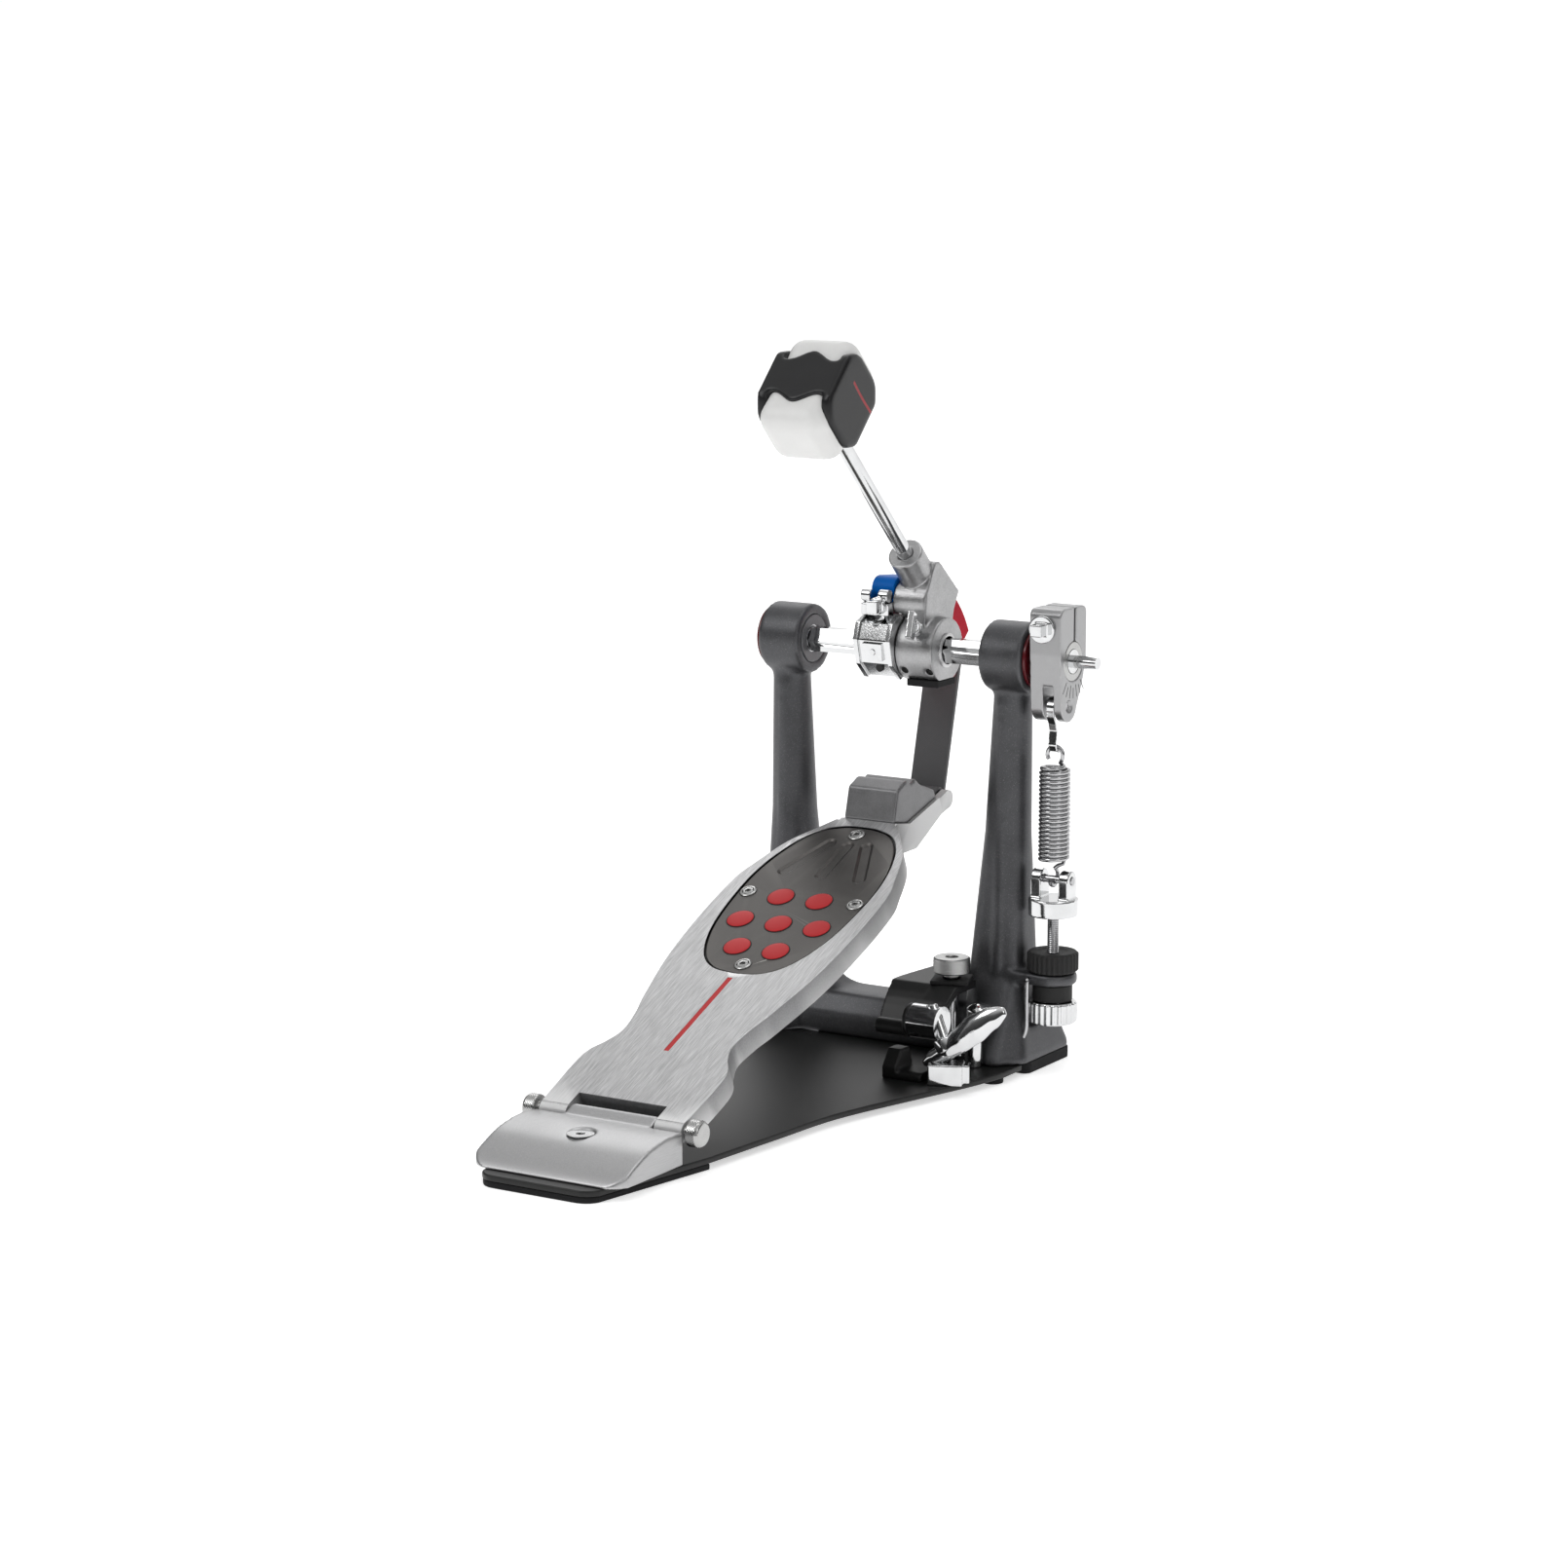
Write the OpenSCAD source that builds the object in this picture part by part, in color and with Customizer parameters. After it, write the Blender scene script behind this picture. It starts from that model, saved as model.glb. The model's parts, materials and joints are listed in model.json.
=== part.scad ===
// Bass drum pedal: strap-driven, cast frame, one extension spring.
// X points to the player's right, Y from the heel to the drum, Z up.
// The origin lies on the floor, straight under the drive shaft, in the footboard's middle plane.

/* [Frame] */
// Height of the drive shaft above the floor
axle_z = 208; // [195:1:225]
// Distance from the middle to the right hub's inner face
hub_right_x = 53.4; // [50:0.2:58]
// Distance from the middle to the left hub's inner face
hub_left_x = 51.5; // [49:0.5:56]
// Outer radius of the shaft hubs
hub_r = 17.8; // [16:0.2:20]
// Length of a shaft hub
hub_len = 24; // [20:1:28]

/* [Base] */
// Thickness of the steel base plate
plate_t = 3; // [2:0.5:4]
// Thickness of the rubber under the base plate
rubber_t = 3; // [2:0.5:4]
// Distance from the shaft back to the heel end of the base
heel_y = -328; // [-340:1:-315]

/* [Footboard] */
// Distance from the shaft back to the heel hinge
hinge_y = -262; // [-268:1:-256]
// Height of the heel hinge above the floor
hinge_z = 20; // [18:1:22]
// Tilt of the footboard at rest
board_tilt = 23; // [21:0.5:25]
// Height of the footboard's top face over the hinge axis
board_top = 5; // [4:0.5:6]
// Depth of the footboard's rim
board_depth = 12; // [10:0.5:14]

/* [Drive] */
// Hexagonal shaft, size across flats
hex_af = 12; // [10:0.5:13]
// Radius of the shaft's journals
journal_r = 6; // [5:0.5:6]
// Radius of the free pin at the shaft's right end
link_pin_r = 3.175; // [3:0.025:3.5]
// Backward lean of the beater rod from vertical
beater_lean = 45.6; // [40:0.2:50]
// Radius of the beater rod
beater_rod_r = 3.95; // [3:0.05:4.1]

/* [Spring] */
// Sideways position of the spring
spring_x = 91; // [90:0.5:92]
// Outer radius of the spring
spring_r = 8; // [7:0.5:9]
// Radius of the threaded tension rod
rod_r = 3; // [2.5:0.5:3.5]

/* [Hidden] */
$fn = 64;

gap = 0.3;
run = 0.05;
floor_top = plate_t + rubber_t;
spring_y = -4;
spring_low_z = 98;
lever_pin_z = axle_z - 22;
post_x = 46;
stud_x = 48.6;
stud_y = -31.8;
rocker_t = 4;
rocker_z = 46;
barrel_y = -72;
barrel_z = 34.5;
barrel_r = 8.5;
wing_foot = [71.5, -75.5, 21.5];
beater_x = 10;
stem_point = [beater_x, -12.6, 256.1];
head_reach = 121.5;
cam_centre = [-5, 185];
cam_r = 59;
groove_r = 53;
nose = [29, 200];
nose_r = 14;
strap_t = 2.5;
strap_w = 20;
toe_pin = [22.5, 127];
toe_reach = toe_pin - [hinge_y, hinge_z];
toe_uv = [toe_reach[0] * cos(board_tilt) + toe_reach[1] * sin(board_tilt),
    toe_reach[1] * cos(board_tilt) - toe_reach[0] * sin(board_tilt)];
rib_pitch_x = 18;
rib_pitch_y = 31.5;
rib_t = 2.4;

// Points on a circular arc
function arc(c, r, a0, a1, n = 16) =
    [for (i = [0 : n]) let (a = a0 + (a1 - a0) * i / n) [c[0] + r * cos(a), c[1] + r * sin(a)]];
// One point of a smooth curve through p1 and p2
function curve_point(p0, p1, p2, p3, t) = 0.5 * (2 * p1 + (p2 - p0) * t
    + (2 * p0 - 5 * p1 + 4 * p2 - p3) * t * t + (3 * p1 - p0 - 3 * p2 + p3) * t * t * t);
// A smooth open curve through the points p, with n steps between neighbours
function curve(p, n = 6) = let (m = len(p) - 1)
    [for (i = [0 : m - 1], k = [0 : n - 1])
        curve_point(p[max(i - 1, 0)], p[i], p[i + 1], p[min(i + 2, m)], k / n), p[m]];
// The same points with the first coordinate reversed, in reverse order
function mirrored(p) = [for (i = [len(p) - 1 : -1 : 0]) [-p[i][0], p[i][1]]];
// Corner points of a rectangle with rounded corners
function round_rect(x0, y0, x1, y1, r) = concat(arc([x1 - r, y0 + r], r, -90, 0, 6),
    arc([x1 - r, y1 - r], r, 0, 90, 6), arc([x0 + r, y1 - r], r, 90, 180, 6),
    arc([x0 + r, y0 + r], r, 180, 270, 6));

// Extrudes an outline drawn in (y, z) along X from x0 to x1
module side(x0, x1) {
    translate([x0, 0, 0]) rotate([90, 0, 90]) linear_extrude(x1 - x0) children();
}
// Cylinder along X from x0 to x1
module bar_x(r, x0, x1, y, z) {
    translate([x0, y, z]) rotate([0, 90, 0]) cylinder(r = r, h = x1 - x0);
}
// Upright cylinder from z0 to z1
module post_z(r, z0, z1, x, y) {
    translate([x, y, z0]) cylinder(r = r, h = z1 - z0);
}
// Places children on the tilted footboard, where Y runs along the board and Z is its normal
module on_board() {
    translate([0, hinge_y, hinge_z]) rotate([board_tilt, 0, 0]) children();
}
// Places children so that Z runs up the beater rod from its socket mouth
module on_stem() {
    translate(stem_point) rotate([beater_lean, 0, 0]) children();
}
// Places children so that Z runs up the wing bolt and X along its handle
module on_wing() {
    translate(wing_foot) rotate([0, -26.05, 0]) rotate([-6.66, 0, 0]) children();
}

// ---------- base ----------
module plate_outline(inset = 0) {
    side_line = curve([[45, -250], [50, -200], [55, -154], [69, -103], [80, -66], [85, -42]]);
    half = concat(arc([23, heel_y + 10], 10, -90, -20, 5), side_line, [[85, -24], [38, -24], [38, 42]]);
    pts = concat(half, mirrored(half));
    polygon([for (p = pts) [p[0] - sign(p[0]) * inset, p[1]]]);
}
module base_plate() {
    color("#1b1b1d") translate([0, 0, rubber_t]) linear_extrude(plate_t) plate_outline();
}
module heel_pad() {
    color("#101011") intersection() {
        linear_extrude(rubber_t) plate_outline(0.4);
        translate([-60, heel_y, -1]) cube([120, 78, rubber_t + 2]);
    }
}
module front_pads() {
    color("#101011") {
        for (s = [-1, 1]) translate([s * 66, 2, 0]) linear_extrude(floor_top)
            polygon(round_rect(-20, -24 + 2, 20, 24, 4));
        linear_extrude(rubber_t) polygon(round_rect(-34, -14, 34, 40, 4));
        for (s = [-1, 1]) post_z(5.5, 0, rubber_t, s * 78, -42);
    }
}
module lower_jaw_pad() {
    color("#101011") translate([0, 0, floor_top]) linear_extrude(2.5)
        polygon(round_rect(26, 16, 43, 40, 2));
}

// ---------- heel plate and hinge ----------
module heel_plate() {
    crown = curve([[hinge_y - 6.3, 21.5], [-282, 21.4], [-297, 18.8], [-309, 14], [-317, 9.6], [-321, 6]]);
    color("#c9cbcd") difference() {
        union() {
            intersection() {
                side(-42, 42) polygon(concat([[hinge_y - 6.3, floor_top]], crown));
                linear_extrude(40) polygon(concat(arc([30, -308], 13, -90, -8, 8), [[42, -268]],
                    mirrored(concat(arc([30, -308], 13, -90, -8, 8), [[42, -268]]))));
            }
            side(-24, 24) polygon(concat([[hinge_y - 6.3, floor_top], [hinge_y, floor_top + 2]],
                arc([hinge_y, hinge_z], 4.8, -60, 90, 10), [[hinge_y - 6.3, 21.5]]));
        }
        bar_x(3, -50, 50, hinge_y, hinge_z);
        post_z(3, 0, 40, 0, -290);
        translate([0, -290, 16.6]) cylinder(r1 = 3, r2 = 7.2, h = 4.2);
        post_z(7.2, 20.79, 30, 0, -290);
    }
}
module heel_bolt() {
    color("#dcdee0") difference() {
        union() {
            post_z(3, floor_top, 16.6, 0, -290);
            translate([0, -290, 16.6]) cylinder(r1 = 3, r2 = 6.6, h = 3.6);
        }
        translate([0, -290, 18]) cylinder(r = 2.2, h = 4, $fn = 6);
    }
}
module hinge_pin() {
    color("#b8babc") bar_x(3, -40.6, 40.6, hinge_y, hinge_z);
}
module hinge_thumb_screws() {
    color("#b8babc") for (s = [-1, 1]) {
        bar_x(6.5, s > 0 ? 41.6 : -49, s > 0 ? 49 : -41.6, hinge_y, hinge_z);
        bar_x(4, s > 0 ? 40.6 : -41.6, s > 0 ? 41.6 : -40.6, hinge_y, hinge_z);
    }
}

// ---------- cast frame ----------
module column_slice(z) {
    for (p = [[post_x + 6, -7], [70, -7], [post_x + 6, 6], [70, 6]])
        translate([p[0], p[1], z]) cylinder(r = 6, h = 1, $fn = 32);
}
module foot_slice() {
    for (p = [[50.2, -17], [62, -19], [70.5, -33], [74, -33.5], [82.5, -23], [82.5, 21], [50.2, 21]])
        translate([p[0], p[1], floor_top]) cylinder(r = 4, h = 3, $fn = 32);
}
module post(hub_x) {
    bar_x(hub_r, hub_x, hub_x + hub_len, 0, axle_z);
    hull() {
        translate([65, 0, axle_z - 16]) cylinder(r = 9.6, h = 1, $fn = 32);
        translate([63, -0.3, 118]) scale([1.06, 0.98, 1]) cylinder(r = 11.3, h = 1, $fn = 32);
    }
    hull() {
        translate([63, -0.3, 118]) scale([1.06, 0.98, 1]) cylinder(r = 11.3, h = 1, $fn = 32);
        column_slice(48);
    }
    hull() {
        column_slice(48);
        foot_slice();
    }
}
module hub_bore(hub_x) {
    bar_x(12, hub_x - 1, hub_x + hub_len + 1, 0, axle_z);
}
module right_post() {
    arm = concat(arc([spring_x, spring_y], 12.4, -100, 100, 20), [[74, 10], [60, 8], [60, -12], [74, -15]]);
    color("#4a4b4e") difference() {
        union() {
            post(hub_right_x);
            translate([0, 0, 44.6]) linear_extrude(6.1) polygon(arm);
        }
        hub_bore(hub_right_x);
        post_z(rod_r + 0.2, 30, 60, spring_x, spring_y);
        post_z(13.4, 22, 44.6, spring_x, spring_y);
        post_z(7.6, floor_top + 24, 60, 66, -33);
        post_z(5.5, 50.7, 60, 103, spring_y);
    }
}
module left_post() {
    color("#4a4b4e") difference() {
        mirror([1, 0, 0]) post(hub_left_x);
        mirror([1, 0, 0]) hub_bore(hub_left_x);
    }
}
module cross_beam() {
    color("#3c3d40") {
        side(-post_x, post_x) polygon([[-20, floor_top], [-20, 17.5], [-14, 27], [-9, 28], [8, 28], [13, 22],
            [13, floor_top]]);
        for (s = [0, 1]) mirror([s, 0, 0]) translate([0, 7, 0]) rotate([90, 0, 0]) linear_extrude(15)
            polygon(concat([[post_x, 28]], arc([24, 50], 22, -90, -36, 8), [[post_x, 37.1]]));
    }
}
module left_bearing() {
    color("#8d9094") difference() {
        bar_x(12, -hub_left_x - hub_len + 1, -hub_left_x - 1, 0, axle_z);
        bar_x(journal_r + run, -90, 0, 0, axle_z);
    }
}
module right_bearing() {
    color("#8d9094") difference() {
        bar_x(12, hub_right_x + 1, hub_right_x + hub_len - 1, 0, axle_z);
        bar_x(journal_r + run, 0, 90, 0, axle_z);
    }
}
module bearing_seals() {
    color("#5a1018") difference() {
        union() {
            bar_x(15, hub_right_x + hub_len, hub_right_x + hub_len + 1.6, 0, axle_z);
            bar_x(15, -hub_left_x - hub_len - 1.6, -hub_left_x - hub_len, 0, axle_z);
        }
        bar_x(journal_r + 0.4, -90, 90, 0, axle_z);
    }
}
module frame_bolt() {
    color("#dfe1e3") {
        intersection() {
            translate([66, -33, floor_top + 21.2]) sphere(r = 10);
            post_z(7, 28.5, 40, 66, -33);
        }
        post_z(4.5, floor_top, 28.5, 66, -40);
    }
}

// ---------- spring side ----------
module tension_rod() {
    color("#aeb1b4") post_z(rod_r, 23, 79.7, spring_x, spring_y);
}
module spring_clevis() {
    color("#d9dbdd") difference() {
        union() {
            post_z(12.6, 79.7, 88.6, spring_x, spring_y);
            for (x = [spring_x - 10.5, spring_x + 5]) {
                bar_x(5, x, x + 5.5, spring_y, spring_low_z);
                translate([x, spring_y - 5, 88.6]) cube([5.5, 10, spring_low_z - 88.6]);
            }
        }
        bar_x(2, 60, 120, spring_y, spring_low_z);
    }
}
module clevis_pin() {
    color("#c9ccce") bar_x(2, spring_x - 11, spring_x + 11, spring_y, spring_low_z);
}
module ribbed_nut(r, z0, z1, ribs) {
    difference() {
        union() {
            post_z(r - 0.8, z0, z1, spring_x, spring_y);
            for (i = [0 : ribs - 1]) translate([spring_x, spring_y, z0 + 0.8]) rotate([0, 0, i * 360 / ribs])
                translate([r - 2, -0.9, 0]) cube([1.9, 1.8, z1 - z0 - 1.6]);
        }
        post_z(rod_r + run, z0 - 1, z1 + 1, spring_x, spring_y);
    }
}
module lock_nut() {
    color("#141415") ribbed_nut(13, 51.2, 61.3, 30);
}
module tension_nut() {
    color("#d9dbdd") ribbed_nut(12.6, 25, 35.9, 26);
}
module tension_sleeve() {
    color("#121213") difference() {
        post_z(10, 36.4, 44.6, spring_x, spring_y);
        post_z(rod_r, 30, 60, spring_x, spring_y);
    }
}
module wire_clip() {
    color("#8a8d90") {
        translate([84.5, -19, 19.5]) cylinder(r = 1, h = 29.5, $fn = 10);
        translate([84.5, -19, 48]) rotate([-90, 0, 0]) cylinder(r = 1, h = 4.2, $fn = 10);
        translate([84.5, -19, 20]) rotate([0, 212, 0]) cylinder(r = 1, h = 9, $fn = 10);
    }
}
module spring_lever() {
    outline = concat(arc([-4, lever_pin_z], 8, 190, 350, 12), [[10, 197], [13.5, 208]],
        arc([9.5, 231], 4, 0, 90, 6), arc([-10, 231], 4, 90, 180, 6), [[-14, 212]]);
    color("#b4b6b8") difference() {
        side(81, 98.5) polygon(outline);
        bar_x(10, 80, 100, 0, axle_z);
        translate([80, 0.4, axle_z + 5]) cube([20, 2, 40]);
        translate([spring_x - 3, -30, 170]) cube([6, 60, 26.5]);
        bar_x(2, 80, 97, -4, lever_pin_z);
        bar_x(3.2, 97, 100, -4, lever_pin_z);
        translate([88.5, 30, 225]) rotate([90, 0, 0]) cylinder(r = 2.5, h = 60);
    }
}
module lever_insert() {
    color("#c6c8ca") difference() {
        bar_x(10, 81, 98.5, 0, axle_z);
        bar_x(journal_r, 80, 100, 0, axle_z);
    }
}
module lever_bolt() {
    color("#dfe1e3") translate([88.5, 0, 225]) rotate([90, 0, 0]) {
        translate([0, 0, -13]) cylinder(r = 2.5, h = 29);
        translate([0, 0, 14]) cylinder(r = 7, h = 1.6);
        translate([-3, -3, 15.6]) cube([6, 6, 6.4]);
    }
}
module lever_pin() {
    color("#bfc2c4") bar_x(2, 82, 97, -4, lever_pin_z);
}
module shackle() {
    eye = [-4.9, lever_pin_z - 0.9];
    color("#d9dbdd") {
        difference() {
            side(spring_x - 2.2, spring_x + 2.2) polygon(concat(arc(eye, 6.8, -20, 200, 20),
                [[-7.5, 166], [-6, 162], [-2, 162], [-0.5, 166]]));
            bar_x(3.5, 80, 100, eye[0], eye[1]);
            bar_x(2, 80, 100, spring_y, 165.1);
        }
    }
}
module spring_loop() {
    rotate_extrude() translate([4.3, 0]) circle(r = 1.1);
}
module tension_spring() {
    color("#9a9da0") translate([spring_x, spring_y, 0]) {
        translate([0, 0, 105]) rotate_extrude() polygon([[3, 0], [spring_r - 3, 0], [spring_r, 3],
            [spring_r, 47.6], [spring_r - 3, 51.6], [3, 51.6], [3, 50.6], [spring_r - 2.2, 47],
            [spring_r - 2.2, 4], [3, 1]]);
        translate([0, 0, 99.1]) rotate([0, 90, 0]) spring_loop();
        translate([-4.3, 0, 103.4]) cylinder(r = 1, h = 0.1);
        translate([0, 0, 161]) rotate([90, 0, 0]) spring_loop();
    }
}

// ---------- hoop clamp ----------
module clamp_stud() {
    color("#b9bbbd") post_z(3.4, floor_top, 57, stud_x, stud_y);
}
module clamp_seat() {
    color("#161617") {
        side(46, 59.8) polygon([[-83, floor_top], [-83, 9], [-80, 10.4], [-68, 10.4], [-66, 9],
            [-66, floor_top]]);
        side(38, 46) polygon([[-83, floor_top], [-83, 12], [-77, 20], [-69, 20], [-66, 12],
            [-66, floor_top]]);
    }
}
module clamp_anvil() {
    color("#e2e4e6") {
        translate([70.5, -76, floor_top]) rotate([0, 0, 24]) {
            translate([-8.5, -6.5, 0]) cube([17, 13, 10.4]);
            translate([8.5, -4, 1]) cube([3.4, 8.5, 9]);
        }
    }
}
module clamp_rocker() {
    top = concat([[barrel_y, 31.8]], curve([[-70, 32.4], [-52, 39.6], [-42, rocker_z]], 3),
        [[8, rocker_z]], curve([[14, 44.6], [24, 36], [32, 28]], 3), [[40, 27.5]]);
    low = [[40, 23.5], [30.5, 23.6], [21, 33], [12.5, 41], [8, rocker_z - rocker_t],
        [-41, rocker_z - rocker_t], [-51, 35.4], [-70, 27.6], [barrel_y, 27.6]];
    color("#1f1f21") difference() {
        intersection() {
            union() {
                side(18, 44) polygon(concat(top, low));
                side(43, 58) polygon([[barrel_y, 31.8], [-70, 32.4], [-52, 39.6], [-42, rocker_z],
                    [-22, rocker_z], [-22, rocker_z - rocker_t], [-41, rocker_z - rocker_t], [-51, 35.4],
                    [barrel_y, 27.6]]);
                bar_x(4, 29.5, 47.5, barrel_y - 0.5, 29.8);
            }
            translate([0, 0, 10]) linear_extrude(50) polygon(concat([[47.5, -80], [29.5, -80]],
                curve([[29.5, -72], [24.4, -59], [20.8, -47], [20, -34], [22, -15], [25, 8]], 5),
                [[25, 42], [43.5, 42], [44, 10], [57.5, -18], [57.5, -60], [47.6, -62]]));
        }
        post_z(4.6, 30, 60, stud_x, stud_y);
        bar_x(barrel_r + 0.02, 47.5, 60, barrel_y, barrel_z);
    }
    color("#161617") difference() {
        bar_x(barrel_r, 47.5, 50, barrel_y, barrel_z);
        bar_x(4, 29.5, 47.5, barrel_y - 0.5, 29.8);
    }
}
module clamp_washer() {
    color("#77797c") difference() {
        translate([stud_x, stud_y, rocker_z]) rotate([0, 0, 20]) translate([-9.5, -9.5, 0])
            cube([19, 19, 1.8]);
        post_z(4.6, 30, 60, stud_x, stud_y);
    }
}
module clamp_knob() {
    color("#c4c6c8") difference() {
        union() {
            post_z(5, 49.1, 50.3, stud_x, stud_y);
            post_z(9.4, 50.3, 58.6, stud_x, stud_y);
        }
        post_z(3.4 + run, 40, 57.05, stud_x, stud_y);
        post_z(3.2, 57, 60, stud_x, stud_y);
    }
}
module barrel_nut() {
    color("#e2e4e6") difference() {
        bar_x(barrel_r, 50, 66, barrel_y, barrel_z);
        on_wing() cylinder(r = 3 + run, h = 60);
    }
}
module upper_jaw_pad() {
    color("#101011") translate([0, 0, 20.5]) linear_extrude(3) polygon(round_rect(27, 31.4, 42, 40, 2));
}
module wing_bolt() {
    color("#e4e6e8") {
        on_wing() {
            translate([0, 0, -1.3]) cylinder(r = 3, h = 26);
            translate([0, 0, 1]) cylinder(r = 5.6, h = 5.5);
        }
        difference() {
            on_wing() rotate([90, 0, 0]) translate([0, 0, -3.4]) linear_extrude(6.8) polygon(concat(
                curve([[-22, -0.5], [-12, 1], [6, 1.2], [24, 1.2], [31, 3], [34, 6.5]], 3),
                curve([[33.5, 10], [25, 13.4], [14, 11.5], [7, 7], [-8, 5.6], [-22, 2.4]], 3)));
            on_wing() cylinder(r = 5.5, h = 20);
        }
    }
}

// ---------- drive shaft and cam ----------
module drive_shaft() {
    color("#d2d4d6") {
        translate([-hub_left_x + gap, 0, axle_z]) rotate([0, 90, 0]) rotate([0, 0, 30])
            cylinder(r = hex_af / 2 / cos(30), h = hub_left_x + hub_right_x - 2 * gap, $fn = 6);
        bar_x(journal_r, -78, 10 - hub_left_x, 0, axle_z);
        bar_x(journal_r, hub_right_x - 10, 98.5, 0, axle_z);
        bar_x(link_pin_r, 98.5, 112, 0, axle_z);
    }
}
module shaft_end_nut() {
    color("#cfd1d3") {
        bar_x(8, -80.4, -78, 0, axle_z);
        bar_x(4, -82, -80.4, 0, axle_z);
    }
}
module shaft_hole() {
    bar_x(hex_af / 2 / cos(30) + 0.02, -60, 60, 0, axle_z);
}
module cam_outline(r) {
    polygon(concat(arc(cam_centre, r, 26, 58, 14), [[22, 216], [8, 219], [2, 208], [14, 197]],
        [[40, 204]]));
}
module groove_outline() {
    polygon(concat(arc(cam_centre, groove_r, 30, 58, 14), [[20, 214], [14, 197]],
        arc(nose, nose_r, -80, 20, 10)));
}
function left_rib() = [[2, 224.6], [-9, 224.6], [-9, 232], [24, 232], [40, 204], [12, 196], [8, 214]];
function right_rib() = [[10, 212], [13, 221], [24, 221], [40, 204], [12, 194.5]];
function web() = [[11, 196], [9, 212], [21, 212], [26, 202], [24, 196]];
module cam_frame() {
    color("#a3a5a8") difference() {
        union() {
            bar_x(15.5, -12.5, 5.2, 0, axle_z);
            side(-12.5, -10.4) polygon(left_rib());
            side(10.4, 12.5) polygon(right_rib());
            side(-10.4, 10.4) polygon(web());
        }
        shaft_hole();
        bar_x(16.7, 5.2, 30, 0, axle_z);
        side(10, 13) polygon([[20, 206], [22, 214], [29, 208]]);
        side(-13, -10) polygon([[16, 212], [16, 226], [28, 214], [26, 208]]);
    }
}
module red_cam() {
    color("#b3122b") difference() {
        union() {
            side(-10.4, 10.4) groove_outline();
            for (x = [-12.5, 10.4]) side(x, x + 2.1) cam_outline(cam_r);
        }
        side(-20, -10.4) polygon(left_rib());
        side(10.4, 20) polygon(right_rib());
        side(-10.4, 10.4) polygon(web());
        bar_x(16.7, -20, 30, 0, axle_z);
        side(-20, 20) polygon([[-20, 150], [60, 150], [60, 186], [-20, 186]]);
    }
}
module blue_cam() {
    color("#0d4fa8") difference() {
        side(-12.5, 0.4) polygon(concat([[-9, 236]], arc([-2, 236.8], 7, 175, 90, 6), [[12, 242.6], [22, 238],
            [24, 234.5], [22, 232]], [[-9, 232]]));
        shaft_hole();
    }
}
module strap_wrap() {
    color("#3a3b3e") side(-strap_w / 2, strap_w / 2) polygon(concat(
        arc(cam_centre, groove_r + strap_t + 0.1, 41, 53, 8), arc(cam_centre, groove_r + 0.1, 53, 41, 8)));
}
module strap() {
    lean = atan2(nose[0] + nose_r - toe_pin[0], nose[1] - toe_pin[1]);
    face = nose_r + 0.4;
    eye_r = 5.6;
    join = acos((eye_r - strap_t) / eye_r);
    color("#3a3b3e") difference() {
        side(-strap_w / 2, strap_w / 2) polygon(concat(
            arc(cam_centre, groove_r + 0.4 + strap_t, 40.4, 25, 8), arc(nose, face + strap_t, 12, -lean, 6),
            arc(toe_pin, eye_r, -lean, join - lean - 360, 24),
            arc(nose, face, -lean, 12, 6), arc(cam_centre, groove_r + 0.4, 25, 40.4, 8)));
        bar_x(4.2, -20, 20, toe_pin[0], toe_pin[1]);
    }
}

// ---------- stroke clamp and beater holder ----------
module stroke_clamp() {
    color("#c3c5c7") difference() {
        side(-16, 5.2) polygon([[-10, 224.5], [-17, 221], [-20, 213], [-17, 201], [-9, 193.5], [4, 192.5],
            [7, 194], [0, 224.5]]);
        bar_x(15.6, -12.5, 6, 0, axle_z);
        shaft_hole();
        translate([-5, -10, 222]) rotate([90, 0, 0]) cylinder(r = 2.4, h = 20);
        translate([-3.6, -10, 199.5]) rotate([100, 0, 0]) cylinder(r = 2, h = 15);
    }
}
module stroke_yoke() {
    color("#d4d6d8") {
        side(-15, 0.9) polygon([[-15, 225], [-15, 231], [-9.2, 232], [-9.2, 224.6]]);
    }
}
module stroke_bolt() {
    color("#dfe1e3") {
        translate([-5, -15, 230]) rotate([90, 0, 0]) cylinder(r = 4.6, h = 2);
        translate([-8.2, -22, 226.8]) cube([6.4, 5, 6.4]);
        for (x = [-15, -5]) translate([x, -12.5, 234.8]) rotate([0, 90, 0]) cylinder(r = 3.3, h = 5.5);
    }
}
module beater_holder() {
    stem_top = 4;
    color("#aaacae") difference() {
        union() {
            bar_x(16.5, 5.5, 26.5, 0, axle_z);
            on_stem() translate([0, 0, -38]) cylinder(r = 9, h = 38 + stem_top - 2);
            bar_x(10, 1, 19, -0.6, 232);
            side(13, 20) polygon([[-12, 218], [-9, 238], [-1, 252], [4, 252], [24, 235], [19, 226],
                [15.5, 212]]);
        }
        shaft_hole();
        on_stem() translate([0, 0, -36.5]) cylinder(r = beater_rod_r + run, h = 60);
        side(-20, 5.3) polygon([[-12, 190], [-12, 226], [12, 226], [26, 222], [26, 190]]);
        side(-20, 1) polygon([[-20, 180], [-20, 260], [40, 260], [40, 180]]);
        side(0, 13) polygon([[18, 190], [18, 222.5], [30, 222.5], [60, 190]]);
        side(-20, 13) polygon(concat(arc(cam_centre, groove_r - 1, 60, 20, 10),
            [[60, 200], [60, 250], [28, 250]]));
        translate([7, -20, 190]) cube([21, 40, 3.2]);
        for (x = [9.4, 23.6]) translate([x, -8, 199]) rotate([100, 0, 0]) cylinder(r = 2, h = 15);
    }
}
module holder_screw() {
    color("#dfe1e3") {
        translate([18, -16, 220]) rotate([68, 0, 0]) cylinder(r = 4, h = 4);
        translate([18, -19.5, 221.5]) rotate([68, 0, 12]) translate([-1.6, -7, 0.2]) cube([3.2, 14, 6]);
    }
}
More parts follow.
